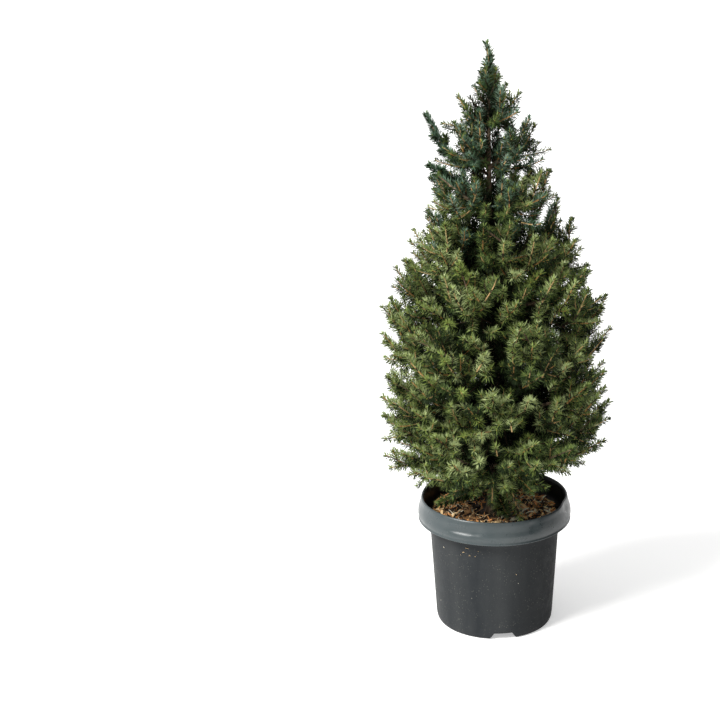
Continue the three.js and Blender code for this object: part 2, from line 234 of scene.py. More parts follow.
class NodeSheet:
    """A material's node sheet, with short ways to add and join nodes."""

    def __init__(self, name: str) -> None:
        """Start a material with that name."""
        self.made = bpy.data.materials.new(name)
        self.made.use_nodes = True
        self.tree = self.made.node_tree
        self.shader = self.tree.nodes["Principled BSDF"]
        self.place = self.add("ShaderNodeTexCoord").outputs["Object"]

    def add(self, kind: str, **settings: object) -> bpy.types.Node:
        """Add a node of a kind, and set its attributes."""
        node = self.tree.nodes.new(kind)
        for key, value in settings.items():
            setattr(node, key, value)
        return node

    def join(self, source: bpy.types.NodeSocket, target: bpy.types.NodeSocket) -> None:
        """Link one socket to another."""
        self.tree.links.new(source, target)

    def stretched(self, scale: tuple[float, float, float]) -> bpy.types.NodeSocket:
        """Object position stretched by a scale along each axis."""
        node = self.add("ShaderNodeMapping")
        node.inputs["Scale"].default_value = scale
        self.join(self.place, node.inputs["Vector"])
        return node.outputs["Vector"]

    def clouds(
        self, scale: float, detail: float = 3.0, place: bpy.types.NodeSocket | None = None
    ) -> bpy.types.NodeSocket:
        """Soft noise of a scale, from 0 to 1."""
        node = self.add("ShaderNodeTexNoise")
        node.inputs["Scale"].default_value = scale
        node.inputs["Detail"].default_value = detail
        self.join(place or self.place, node.inputs["Vector"])
        return node.outputs["Fac"]

    def cells(self, scale: float, feature: str = "F1") -> bpy.types.NodeSocket:
        """Distance to the nearest of many scattered points."""
        node = self.add("ShaderNodeTexVoronoi", feature=feature)
        node.inputs["Scale"].default_value = scale
        self.join(self.place, node.inputs["Vector"])
        return node.outputs["Distance"]

    def ramp(
        self, source: bpy.types.NodeSocket, stops: list[tuple[float, Colour]]
    ) -> bpy.types.NodeSocket:
        """Turn a value to a colour by stops."""
        node = self.add("ShaderNodeValToRGB")
        ramp = node.color_ramp
        while len(ramp.elements) < len(stops):
            ramp.elements.new(0.5)
        for element, (position, colour) in zip(ramp.elements, stops):
            element.position = position
            element.color = (*colour, 1.0)
        self.join(source, node.inputs["Fac"])
        return node.outputs["Color"]

    def span(
        self, source: bpy.types.NodeSocket, old: tuple[float, float], new: tuple[float, float]
    ) -> bpy.types.NodeSocket:
        """Map a value's range to another, clamped."""
        node = self.add("ShaderNodeMapRange")
        for key, value in zip(("From Min", "From Max", "To Min", "To Max"), (*old, *new)):
            node.inputs[key].default_value = value
        self.join(source, node.inputs["Value"])
        return node.outputs["Result"]

    def mix(
        self,
        factor: bpy.types.NodeSocket,
        first: bpy.types.NodeSocket | Colour,
        second: bpy.types.NodeSocket | Colour,
        blend: str = "MIX",
    ) -> bpy.types.NodeSocket:
        """Mix two colours by a factor."""
        node = self.add("ShaderNodeMix", data_type="RGBA", blend_type=blend)
        self.join(factor, node.inputs[0])
        for socket, value in ((node.inputs[6], first), (node.inputs[7], second)):
            if isinstance(value, tuple):
                socket.default_value = (*value, 1.0)
            else:
                self.join(value, socket)
        return node.outputs[2]

    def bump(
        self, height: bpy.types.NodeSocket, distance: float, strength: float = 1.0
    ) -> bpy.types.NodeSocket:
        """Relief from a height, on top of any relief already on the shader."""
        node = self.add("ShaderNodeBump")
        node.inputs["Distance"].default_value = distance
        node.inputs["Strength"].default_value = strength
        self.join(height, node.inputs["Height"])
        already = self.shader.inputs["Normal"].links
        if already:
            self.join(already[0].from_socket, node.inputs["Normal"])
        self.join(node.outputs["Normal"], self.shader.inputs["Normal"])
        return node.outputs["Normal"]

    def colour(self, source: bpy.types.NodeSocket) -> None:
        """Take the base colour from a socket."""
        self.join(source, self.shader.inputs["Base Color"])

    def roughness(self, source: bpy.types.NodeSocket) -> None:
        """Take the roughness from a socket."""
        self.join(source, self.shader.inputs["Roughness"])


@dataclass(frozen=True)
class BarkFinish:
    """Scaly brown bark, with paler ridges and dark cracks."""

    name: str
    crack: Colour = (0.035, 0.022, 0.014)
    plate: Colour = (0.150, 0.098, 0.060)
    edge: Colour = (0.270, 0.190, 0.125)

    def material(self) -> bpy.types.Material:
        """The bark as a material."""
        sheet = NodeSheet(self.name)
        along = sheet.stretched((1.0, 1.0, 0.45))
        scales = sheet.clouds(210.0, 6.0, along)
        sheet.colour(
            sheet.ramp(scales, [(0.32, self.crack), (0.5, self.plate), (0.72, self.edge)])
        )
        sheet.roughness(sheet.span(scales, (0.3, 0.7), (0.95, 0.7)))
        sheet.bump(scales, 0.0012)
        sheet.bump(sheet.cells(420.0), 0.0005, 0.6)
        return sheet.made


@dataclass(frozen=True)
class PotFinish:
    """Moulded nursery plastic: faint mottling, dust, pale specks, a fine grain, and painted shade on the side turned
    away from the light.
    """

    name: str
    base: Colour
    dusty: Colour
    roughness: float
    specks: float
    grain: float
    specular: float = 0.2
    # Where along X the painted shade on the side away from the light starts and is full.
    painted_shade_side: tuple[float, float] = (0.015, 0.080)

    def material(self) -> bpy.types.Material:
        """The plastic as a material."""
        sheet = NodeSheet(self.name)
        streaks = sheet.clouds(26.0, 4.0, sheet.stretched((1.0, 1.0, 0.16)))
        mottle = sheet.clouds(90.0, 5.0)
        tone = sheet.ramp(streaks, [(0.3, self.base), (0.75, self.dusty)])
        dust = sheet.span(mottle, (0.45, 0.8), (0.0, 0.3))
        tone = sheet.mix(dust, tone, self.dusty)
        fine = sheet.span(sheet.cells(300.0), (0.22, 0.12), (0.0, self.specks * 0.45))
        dusted = sheet.span(sheet.clouds(48.0, 2.0), (0.42, 0.62), (0.0, 1.0))
        # Painted shade: the colour darkens towards +X, the side turned away from the key light.
        side = sheet.add("ShaderNodeSeparateXYZ")
        sheet.join(sheet.place, side.inputs[0])
        painted_shade_tone = tuple(channel * 0.4 for channel in self.base)
        tone = sheet.mix(sheet.span(side.outputs["X"], self.painted_shade_side, (0.0, 0.95)), tone, painted_shade_tone)
        haze = sheet.add("ShaderNodeMath", operation="MULTIPLY")
        sheet.join(fine, haze.inputs[0])
        sheet.join(dusted, haze.inputs[1])
        tone = sheet.mix(haze.outputs[0], tone, (0.16, 0.16, 0.13))
        sheet.shader.inputs["Specular IOR Level"].default_value = self.specular
        spots = sheet.span(sheet.cells(62.0), (0.060, 0.045), (0.0, self.specks))
        few = sheet.span(sheet.clouds(60.0, 1.0), (0.50, 0.60), (0.0, 1.0))
        gate = sheet.add("ShaderNodeMath", operation="MULTIPLY")
        sheet.join(spots, gate.inputs[0])
        sheet.join(few, gate.inputs[1])
        sheet.colour(sheet.mix(gate.outputs[0], tone, (0.36, 0.34, 0.28)))
        rough = (self.roughness - 0.06, self.roughness + 0.12)
        sheet.roughness(sheet.span(mottle, (0.3, 0.75), rough))
        sheet.bump(sheet.clouds(700.0, 2.0), self.grain)
        sheet.bump(sheet.clouds(38.0, 2.0), 0.0004, 0.5)
        return sheet.made


@dataclass(frozen=True)
class PeatFinish:
    """Damp, crumbly peat between the chips."""

    name: str

    def material(self) -> bpy.types.Material:
        """The peat as a material."""
        sheet = NodeSheet(self.name)
        crumbs = sheet.clouds(160.0, 8.0)
        stops = [(0.3, (0.010, 0.007, 0.005)), (0.55, (0.045, 0.027, 0.016)), (0.78, (0.16, 0.085, 0.04))]
        sheet.colour(sheet.ramp(crumbs, stops))
        sheet.roughness(sheet.span(crumbs, (0.2, 0.8), (0.7, 1.0)))
        sheet.bump(crumbs, 0.004)
        return sheet.made


# ---------------------------------------------------------------------------------------------
# Mesh pieces
# ---------------------------------------------------------------------------------------------


@dataclass
class MeshPile:
    """Vertices and faces that pile up and end as one mesh piece."""

    name: str
    materials: list[bpy.types.Material]
    smooth: bool = False
    vertices: list[Array] = field(default_factory=list)
    faces: list[Array] = field(default_factory=list)
    slots: list[Array] = field(default_factory=list)
    count: int = 0
    triangles: int = 0

    def add(self, vertices: Array, faces: Array, slots: Array | int = 0) -> None:
        """Add a body.

        Args:
            vertices: Its corners, one in each row.
            faces: Corner numbers, three or four in each row.
            slots: Which material every face takes, or one number for all.
        """
        self.vertices.append(vertices.astype(np.float32))
        self.faces.append((faces + self.count).astype(np.int32))
        self.slots.append(np.broadcast_to(slots, len(faces)).astype(np.int32))
        self.count += len(vertices)
        self.triangles += len(faces) * (faces.shape[1] - 2)

    def piece(self, slot: str, replaced: list[str]) -> bpy.types.Object:
        """Make the piece, and hand it to the frame.

        Args:
            slot: Name of a material slot in the record; not used.
            replaced: CAD nodes that it stands for.

        Returns:
            The new object.
        """
        mesh = bpy.data.meshes.new(self.name)
        corners = np.concatenate([faces.ravel() for faces in self.faces])
        sizes = np.concatenate([np.full(len(faces), faces.shape[1]) for faces in self.faces])
        starts = np.concatenate([[0], np.cumsum(sizes)[:-1]]).astype(np.int32)
        mesh.vertices.add(self.count)
        mesh.vertices.foreach_set("co", np.concatenate(self.vertices).ravel())
        mesh.loops.add(len(corners))
        mesh.loops.foreach_set("vertex_index", corners)
        mesh.polygons.add(len(sizes))
        mesh.polygons.foreach_set("loop_start", starts)
        mesh.polygons.foreach_set("material_index", np.concatenate(self.slots))
        mesh.polygons.foreach_set("use_smooth", np.full(len(sizes), self.smooth))
        mesh.update(calc_edges=True)
        mesh.validate()
        for material in self.materials:
            mesh.materials.append(material)
        made = bpy.data.objects.new(self.name, mesh)
        bpy.context.scene.collection.objects.link(made)
        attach(made, BODY)
        if replaced:
            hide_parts(*replaced)
        LOG.info("%s: %d triangles", self.name, self.triangles)
        return made


def tube(points: Array, radii: Array, sides: int, relief: Array | None = None) -> tuple[Array, Array]:
    """A closed tube along a line, with a point at its far end.

    Args:
        points: The line, one point in each row.
        radii: The tube's radius at each point.
        sides: How many sides the tube has.
        relief: Extra radius for each ring and side, or None.

    Returns:
        The corners, and triangles as rows of corner numbers.
    """
    _, across, over = side_frames(points)
    turn = np.linspace(0.0, 2 * math.pi, sides, endpoint=False)
    spokes = across[:, None] * np.cos(turn)[None, :, None] + over[:, None] * np.sin(turn)[None, :, None]
    width = radii[:, None] + (relief if relief is not None else 0.0)
    rings = points[:, None] + spokes * width[..., None]
    corners = np.vstack([rings.reshape(-1, 3), points[:1], points[-1:]])
    here = np.arange(len(points) - 1)[:, None] * sides + np.arange(sides)[None]
    turned = np.arange(len(points) - 1)[:, None] * sides + (np.arange(sides)[None] + 1) % sides
    walls = np.concatenate(
        [
            np.stack([here, turned, turned + sides], -1).reshape(-1, 3),
            np.stack([here, turned + sides, here + sides], -1).reshape(-1, 3),
        ]
    )
    first, last = len(corners) - 2, len(corners) - 1
    side, after = np.arange(sides), (np.arange(sides) + 1) % sides
    end = (len(points) - 1) * sides
    foot_cap = np.stack([np.full(sides, first), after, side], -1)
    tip_cap = np.stack([np.full(sides, last), end + side, end + after], -1)
    return corners, np.vstack([walls, foot_cap, tip_cap])


# ---------------------------------------------------------------------------------------------
# What the frame says: the trunk's line and the masses' room
# ---------------------------------------------------------------------------------------------


def node_corners(node: bpy.types.Object) -> Array:
    """All corners of a CAD node, one in each row."""
    corners = np.empty(len(node.data.vertices) * 3)
    node.data.vertices.foreach_get("co", corners)
    return corners.reshape(-1, 3)


@dataclass
class TrunkLine:
    """The trunk's middle line and radius at every height, read from its rings in the frame."""

    heights: Array
    middles: Array
    radii: Array

    @classmethod
    def read(cls, node: bpy.types.Object) -> "TrunkLine":
        """Read the line from the CAD trunk.

        Args:
            node: The trunk's CAD node.

        Returns:
            The line, with one entry for each ring.
        """
        corners = node_corners(node)
        levels = np.unique(corners[:, 2].round(4))
        rings = [corners[np.abs(corners[:, 2] - level) < 2e-4] for level in levels]
        middles = np.array([(ring.min(0) + ring.max(0)) / 2 for ring in rings])
        radii = [np.linalg.norm(ring - mid, axis=1).max() for ring, mid in zip(rings, middles)]
        return cls(levels, middles, np.array(radii))

    def centre(self, height: float) -> Array:
        """The middle of the trunk at a height."""
        x = np.interp(height, self.heights, self.middles[:, 0])
        y = np.interp(height, self.heights, self.middles[:, 1])
        return np.array([x, y, height])

    def radius(self, height: float) -> float:
        """The trunk's radius at a height."""
        return float(np.interp(height, self.heights, self.radii))


class MassKind(Enum):
    """How a mass of foliage hangs on the plant."""

    TIER = "a mass on a bough of its own"
    LEADER = "foliage round the trunk's top"
    PLUME = "one slender plume"


@dataclass
class MassRoom:
    """The room of one mass of foliage, from its CAD solid."""

    name: str
    kind: MassKind
    corners: Array
    heart: Array
    tree: BVHTree
    peaks: Array

    @classmethod
    def read(cls, name: str, node: bpy.types.Object) -> "MassRoom":
        """Read a mass.

        Args:
            name: The node's name.
            node: The mass's CAD node.

        Returns:
            Its room, heart and peaks.
        """
        corners = node_corners(node)
        triangles = np.array([polygon.vertices[:] for polygon in node.data.polygons])
        facets = corners[triangles]
        volumes = np.einsum("ij,ij->i", facets[:, 0], np.cross(facets[:, 1], facets[:, 2]))
        heart = (facets.mean(axis=1) * 0.75 * volumes[:, None]).sum(0) / volumes.sum()
        tree = BVHTree.FromPolygons([Vector(c) for c in corners], [tuple(t) for t in triangles])
        kind = MassKind.TIER
        if name.startswith("foliage_leader"):
            kind = MassKind.LEADER
        elif name.startswith(("foliage_plume", "foliage_low")):
            kind = MassKind.PLUME
        return cls(name, kind, corners, heart, tree, cls.find_peaks(corners, triangles, heart))

    @staticmethod
    def find_peaks(corners: Array, triangles: Array, heart: Array) -> Array:
        """Corners that stand further from the heart than all their neighbours.

        Args:
            corners: The solid's corners, which may repeat.
            triangles: Its triangles.
            heart: Its heart.

        Returns:
            The peaks, sorted by place, so that the order of the corners doesn't matter.
        """
        places, merged = np.unique(corners.round(4), axis=0, return_inverse=True)
        away = np.linalg.norm(places - heart, axis=1)
        highest = np.ones(len(places), bool)
        for a, b in ((0, 1), (1, 2), (2, 0)):
            one, other = merged.ravel()[triangles[:, a]], merged.ravel()[triangles[:, b]]
            highest[one[away[one] < away[other]]] = False
            highest[other[away[other] < away[one]]] = False
        return places[highest]

    def room(self, point: Array, direction: Array) -> float:
        """How far a limb can run before it leaves the mass.

        Args:
            point: Where it starts, inside the mass or in the space cut for the trunk.
            direction: Its unit direction.

        Returns:
            The distance, or 0 if the limb never gets inside.
        """
        start, way = Vector(point), Vector(direction)
        hit, normal, _, distance = self.tree.ray_cast(start, way)
        if hit is None:
            return 0.0
        if normal.dot(way) > 0:
            return round(distance, 4)
        again, normal, _, further = self.tree.ray_cast(hit + way * 1e-4, way)
        if again is None or distance > 0.02:
            return 0.0
        return round(distance + further, 4)


@dataclass
class CrownOutline:
    """The outline of the whole crown, from all its CAD masses."""

    tree: BVHTree
    low: float
    reach: float = 0.4
    hem: float = 0.27

    @classmethod
    def read(cls, masses: list[bpy.types.Object]) -> "CrownOutline":
        """Join the masses to one search tree.

        Args:
            masses: CAD nodes of all masses.

        Returns:
            The outline.
        """
        corners, triangles, count = [], [], 0
        for node in masses:
            own = node_corners(node)
            corners.append(own)
            triangles += [tuple(c + count for c in polygon.vertices) for polygon in node.data.polygons]
            count += len(own)
        joined = np.vstack(corners)
        return cls(BVHTree.FromPolygons([Vector(c) for c in joined], triangles), float(joined[:, 2].min()))

    def is_outside(self, place: Array) -> bool:
        """Whether a place on a mass's skin looks out of the crown, upwards or, low down, downwards."""
        slopes = (0.35, -0.55, -1.4) if place[2] < self.hem else (0.35,)
        for slope in slopes:
            way = Vector(unit(outward(place) + UP * slope))
            if self.tree.ray_cast(Vector(place) + way * 0.0015, way, self.reach)[0] is None:
                return True
        return False

    def room(self, point: Array, direction: Array) -> float:
        """How far a limb can run before it leaves the crown for good.

        Args:
            point: Where it starts.
            direction: Its unit direction.

        Returns:
            The distance to the last skin that it meets.
        """
        start, way = Vector(point), Vector(direction)
        gone = 0.0
        for _ in range(12):
            hit, _, _, distance = self.tree.ray_cast(start, way, self.reach)
            if hit is None:
                break
            gone += distance + 1e-4
            start = hit + way * 1e-4
        return round(gone, 4)


# ---------------------------------------------------------------------------------------------
# The branching rule
# ---------------------------------------------------------------------------------------------


class Order(Enum):
    """Which limb of the tree a limb is."""

    BOUGH = 0
    ARM = 1
    SHOOT = 2


class Layer(Enum):
    """How deep in the crown a limb ends."""

    OUTER = "on the crown's skin"
    INNER = "where two masses meet"
    DEEP = "inside a mass"


@dataclass
class Limb:
    """One limb: a line of points with a radius at each, and what it carries."""

    points: Array
    radii: Array
    order: Order
    layer: Layer
    tint: Needle
    stem: Stem
    bare: float = 0.0
    group: str = ""

    @property
    def length(self) -> float:
        """The limb's length."""
        return float(np.linalg.norm(np.diff(self.points, axis=0), axis=1).sum())


SPRAYS = (
    (188, 0.112, 0.232, 0.055),
    (199, 0.110, 0.212, 0.055),
    (298, 0.074, 0.176, 0.055),
    (187, 0.066, 0.706, -0.058),
)


@dataclass
class BranchRule:
    """Sizes of the seeded branching rule, in metres and radians."""

    bough_foot: float = 0.0034
    bough_drop: float = 0.030
    arm_radius: float = 0.0012
    arm_fork: float = math.radians(45)
    shoot_fork: float = math.radians(48)
    shoot_longest: float = 0.038
    shoot_shortest: float = 0.009
    shoot_radius: float = 0.0009
    tip_radius: float = 0.0006
    skin: float = 0.005
    ragged: tuple[float, float] = (0.001, 0.014)
    recess: tuple[float, float] = (0.010, 0.022)
    standing: float = 0.24
    widest: float = 0.158
    directions: int = 300
    trunk_step: float = 0.0042
    gaps: dict[Layer, float] = field(
        default_factory=lambda: {Layer.OUTER: 0.0240, Layer.INNER: 0.028, Layer.DEEP: 0.026}
    )
    brushes: dict[Layer, float] = field(
        default_factory=lambda: {Layer.OUTER: 0.056, Layer.INNER: 0.046, Layer.DEEP: 0.040}
    )
    side_steps: dict[Layer, float] = field(
        default_factory=lambda: {Layer.OUTER: 0.0145, Layer.INNER: 0.018, Layer.DEEP: 0.020}
    )

    def grow_mass(
        self, index: int, mass: MassRoom, outline: CrownOutline, trunk: TrunkLine, bough: Array | None
    ) -> list[Limb]:
        """Grow everything that fills one mass.

        Args:
            index: The mass's number, which also seeds its random draws.
            mass: The room that it may fill.
            outline: The outline of the whole crown.
            trunk: The trunk's line.
            bough: Corners of the mass's own CAD bough, or None.

        Returns:
            All its limbs.
        """
        rng = np.random.default_rng([SEED, index])
        limbs = [self.main_axis(mass, trunk, bough, rng)]
        if mass.kind is not MassKind.PLUME:
            for target, layer in self.targets(mass, outline, rng):
                limbs.append(self.grow_arm(limbs, target, layer, mass, rng))
        for limb in list(limbs):
            limbs.extend(self.grow_shoots(limb, mass.room, rng))
        return limbs

    def main_axis(
        self, mass: MassRoom, trunk: TrunkLine, bough: Array | None, rng: np.random.Generator
    ) -> Limb:
        """The bough that feeds a mass, from the trunk's middle to the mass's main tip.

        Args:
            mass: The mass.
            trunk: The trunk's line.
            bough: Corners of its CAD bough, or None.
            rng: Random draws.

        Returns:
            The bough.
        """
        low, high = mass.corners.min(0), mass.corners.max(0)
        if mass.kind is MassKind.LEADER:
            top = mass.corners[mass.corners[:, 2].argmax()]
            steps = np.linspace(low[2], min(high[2], trunk.heights[-1]), 5)
            controls = [trunk.centre(step) for step in steps]
            if high[2] > trunk.heights[-1]:
                controls.append(top - UP * self.skin)
            points = line_through(controls, 0.004)
            radii = np.linspace(trunk.radius(low[2]) * 0.6, self.tip_radius, len(points))
            return Limb(points, radii, Order.ARM, Layer.OUTER, self.tint(top, rng), Stem.TAN)
        if mass.kind is MassKind.PLUME:
            away = np.linalg.norm(mass.corners - trunk.centre(mass.heart[2]), axis=1)
            near = mass.corners[away < away.min() + 0.008].mean(0)
            far = mass.corners[away.argmax()]
            foot = trunk.centre(near[2] - self.bough_drop * 0.6)
            points = line_through([foot, near, mass.heart, far + unit(near - far) * self.skin], 0.005)
            radii = np.linspace(0.0022, self.tip_radius, len(points))
            inside = np.linalg.norm(near - foot) / np.linalg.norm(far - foot)
            tint = self.tint(far, rng)
            return Limb(points, radii, Order.ARM, Layer.OUTER, tint, Stem.TAN, inside * 0.7)
        foot = trunk.centre(mass.heart[2] - self.bough_drop)
        controls = [foot]
        if bough is not None:
            out = np.linalg.norm(bough[:, :2] - foot[:2], axis=1)
            controls.append(bough[out > out.max() - 0.003].mean(0))
        facing = (mass.peaks - mass.heart) @ (outward(mass.heart) * 0.8 + UP * 0.6)
        main = mass.peaks[facing.argmax()]
        controls += [mass.heart, main + unit(mass.heart - main) * self.skin]
        points = line_through(controls, 0.005)
        radii = np.linspace(self.bough_foot, self.tip_radius, len(points))
        return Limb(points, radii, Order.BOUGH, Layer.OUTER, self.tint(main, rng), Stem.OLD, 0.60)

    def targets(
        self, mass: MassRoom, outline: CrownOutline, rng: np.random.Generator
    ) -> list[tuple[Array, Layer]]:
        """Places that arms grow to: the mass's peaks, then its skin, then a layer inside it.

        Args:
            mass: The mass.
            outline: The outline of the whole crown.
            rng: Random draws.

        Returns:
            Each place with its layer, from the one nearest the heart to the furthest.
        """
        order = mass.peaks[np.lexsort(mass.peaks.T)]
        outside = [peak for peak in order if outline.is_outside(peak)]
        found = [(peak + unit(mass.heart - peak) * self.skin, Layer.OUTER) for peak in outside]
        turn = rng.uniform(0, 2 * math.pi)
        for depth in (1.0, 0.55):
            for i in range(self.directions):
                level = 1 - 2 * (i + 0.5) / self.directions
                flat = math.sqrt(1 - level * level)
                angle = i * GOLDEN_ANGLE + turn
                direction = np.array([flat * math.cos(angle), flat * math.sin(angle), level])
                room = mass.room(mass.heart, direction)
                if not room:
                    continue
                skin = mass.heart + direction * room
                layer = Layer.DEEP
                place = mass.heart + direction * room * depth
                if depth == 1.0:
                    layer = Layer.OUTER if outline.is_outside(skin) else Layer.INNER
                    stands = layer is Layer.OUTER and rng.random() < self.standing
                    push = rng.uniform(*self.ragged) if stands else -rng.uniform(*self.recess)
                    low = skin[2] < outline.hem
                    if low and skin[0] > 0:
                        push -= self.recess[0]
                    push *= float(np.interp(skin[2], (0.55, 0.72), (1.0, 0.45)))
                    fall = -0.5 if low else 0.6
                    place = skin + unit(outward(skin) + UP * fall) * push - direction * self.skin
                    place[:2] *= min(1.0, self.widest / np.linalg.norm(place[:2]))
                gap = self.gaps[layer] * (1.25 if mass.kind is MassKind.LEADER else 1.0)
                if all(np.linalg.norm(place - other) > gap for other, _ in found):
                    found.append((place, layer))
        return sorted(found, key=lambda one: round(float(np.linalg.norm(one[0] - mass.heart)), 4))

    def grow_arm(
        self, limbs: list[Limb], target: Array, layer: Layer, mass: MassRoom, rng: np.random.Generator
    ) -> Limb:
        """Fork an arm off the limb that can reach a place at the most natural angle.

        Args:
            limbs: Limbs that are already there.
            target: Where the arm ends.
            layer: The layer that it ends in.
            mass: The mass.
            rng: Random draws.

        Returns:
            The arm.
        """
        nodes = np.vstack([limb.points[1:-1] for limb in limbs])
        ways = np.vstack([side_frames(limb.points)[0][1:-1] for limb in limbs])
        gap = target - nodes
        reach = np.linalg.norm(gap, axis=1)
        forward = np.einsum("ij,ij->i", ways, gap) / np.maximum(reach, 1e-6)
        strain = np.abs(np.arccos(np.clip(forward, -1, 1)) - self.arm_fork)
        rise = math.radians(np.interp(target[2], (0.20, 0.30, 0.42, 0.55, 0.70), (0, 32, 54, 64, 72)))
        wished = outward(target) * math.cos(rise) + UP * math.sin(rise)
        astray = np.arccos(np.clip(gap @ wished / np.maximum(reach, 1e-6), -1, 1))
        cost = np.abs(reach - 0.042) * 0.45 + strain * 0.012 + astray * 0.032 + (reach < 0.018) * 0.05
        best = int(cost.argmin())
        start, way = nodes[best], ways[best]
        straight = unit(target - start)
        leave = unit(way * 0.3 + straight)
        arrive = unit(straight + wished * 0.45 + rng.normal(0, 0.08, 3))
        points = bent_line(start, leave, target, arrive, 0.005)
        radii = np.linspace(self.arm_radius, self.tip_radius, len(points))
        stem = Stem.OLD
        if layer is Layer.OUTER:
            stem = Stem.TAN if rng.random() < 0.6 else Stem.ORANGE
        limb = Limb(points, radii, Order.ARM, layer, self.tint(target, rng, layer), stem)
        limb.bare = max(0.12, 1 - self.brushes[layer] / limb.length)
        return limb

    def grow_shoots(self, limb: Limb, room: object, rng: np.random.Generator) -> list[Limb]:
        """Shoots along the outer part of a limb, in a spiral, longer further from its tip.

        Args:
            limb: The limb that carries them.
            room: Function that gives the free way from a point in a direction.
            rng: Random draws.

        Returns:
            The shoots.
        """
        grown = []
        whole = limb.length
        turn = rng.uniform(0, 2 * math.pi)
        furthest = whole * (1 - limb.bare) if limb.order is Order.BOUGH else whole * 0.85
        back = rng.uniform(0.016, 0.027)
        number = 0
        while back < min(furthest, 0.095):
            length = min(0.005 + 0.46 * back * rng.uniform(0.85, 1.2), self.shoot_longest)
            shoot = self.side_limb(limb, 1 - back / whole, turn + number * GOLDEN_ANGLE, length, room, rng)
            if shoot is not None:
                grown.append(shoot)
            back += self.side_steps[limb.layer] * rng.uniform(0.75, 1.25)
            number += 1
        return grown

    def side_limb(
        self, parent: Limb, along: float, turn: float, length: float, room: object, rng: np.random.Generator
    ) -> Limb | None:
        """One shoot off a limb, if there is room for it.

        Args:
            parent: The limb that it leaves.
            along: Where on that limb, from 0 to 1.
            turn: Angle round the limb.
            length: The length it would like.
            room: Function that gives the free way from a point in a direction.
            rng: Random draws.

        Returns:
            The shoot, or None where it would leave its room at once.
        """
        fork = self.shoot_fork * rng.uniform(0.85, 1.15)
        place = along * (len(parent.points) - 1)
        here = int(place)
        start = parent.points[here] + (parent.points[here + 1] - parent.points[here]) * (place - here)
        tangents, across, over = side_frames(parent.points)
        round_it = across[here] * math.cos(turn) + over[here] * math.sin(turn)
        way = unit(tangents[here] * math.cos(fork) + round_it * math.sin(fork) + UP * 0.28)
        wanted = min(length, room(start, way) - self.skin * 0.5)
        if wanted < self.shoot_shortest:
            return None
        arrive = unit(way + tangents[here] * 0.25 + UP * 0.40)
        end = start + unit(way + arrive * 0.5) * wanted
        points = bent_line(start, way, end, arrive, 0.009)
        radii = np.linspace(self.shoot_radius, self.tip_radius, len(points))
        tint = parent.tint if rng.random() < 0.7 else self.tint(end, rng, parent.layer)
        stem = parent.stem
        if parent.layer is Layer.OUTER:
            stem = (Stem.ORANGE, Stem.TAN, Stem.OLD)[rng.choice(3, p=(0.35, 0.4, 0.25))]
        return Limb(points, radii, Order.SHOOT, parent.layer, tint, stem)

    def grow_trunk(self, outline: CrownOutline, trunk: TrunkLine) -> list[Limb]:
        """Short, shaded arms that leave the trunk itself and close the crown's middle.

        Args:
            outline: The outline of the whole crown.
            trunk: The trunk's line.

        Returns:
            The arms and their shoots.
        """
        rng = np.random.default_rng([SEED, 77])
        grown = []
        heights = np.arange(outline.low + 0.004, trunk.heights[-1] - 0.02, self.trunk_step)
        for number, height in enumerate(heights):
            turn = number * GOLDEN_ANGLE + rng.normal(0, 0.2)
            high = min(max((height - 0.3) / 0.4, 0.0), 1.0)
            rise = 0.35 + 0.9 * high + rng.normal(0, 0.08)
            way = unit(np.array([math.cos(turn), math.sin(turn), rise]))
            start = trunk.centre(height)
            room = outline.room(start, way)
            wanted = min(room - 0.006, rng.uniform(0.035, 0.060))
            if wanted < 0.014:
                continue
            layer = Layer.DEEP if room > 0.055 else Layer.INNER
            end = start + way * wanted
            points = bent_line(start, way, end, unit(way + UP * 0.3), 0.006)
            radii = np.linspace(0.0013, self.tip_radius, len(points))
            limb = Limb(points, radii, Order.ARM, layer, self.tint(end, rng, layer), Stem.OLD)
            limb.bare = min(0.9 * trunk.radius(height) / wanted, 0.5)
            grown += [limb, *self.grow_shoots(limb, outline.room, rng)]
        return grown

    def grow_hem(self, trunk: TrunkLine) -> list[Limb]:
        """Low sprays that hang from the trunk's foot out over the bed and the pot's rim.

        Args:
            trunk: The trunk's line.

        Returns:
            The sprays and their shoots.
        """
        rng = np.random.default_rng([SEED, 78])
        grown = []
        for azimuth, out, height, drop in SPRAYS:
            turn = math.radians(azimuth)
            tip = np.array([math.cos(turn) * out, math.sin(turn) * out, height])
            foot = trunk.centre(height + drop)
            hip = foot * 0.45 + tip * 0.55 + UP * 0.016
            points = line_through([foot, hip, tip], 0.006)
            radii = np.linspace(self.arm_radius * 1.3, self.tip_radius, len(points))
            limb = Limb(points, radii, Order.ARM, Layer.OUTER, self.tint(tip, rng), Stem.TAN)
            limb.bare = 1 - 0.055 / limb.length
            grown += [limb, *self.grow_shoots(limb, lambda point, way: 0.040, rng)]
        return grown

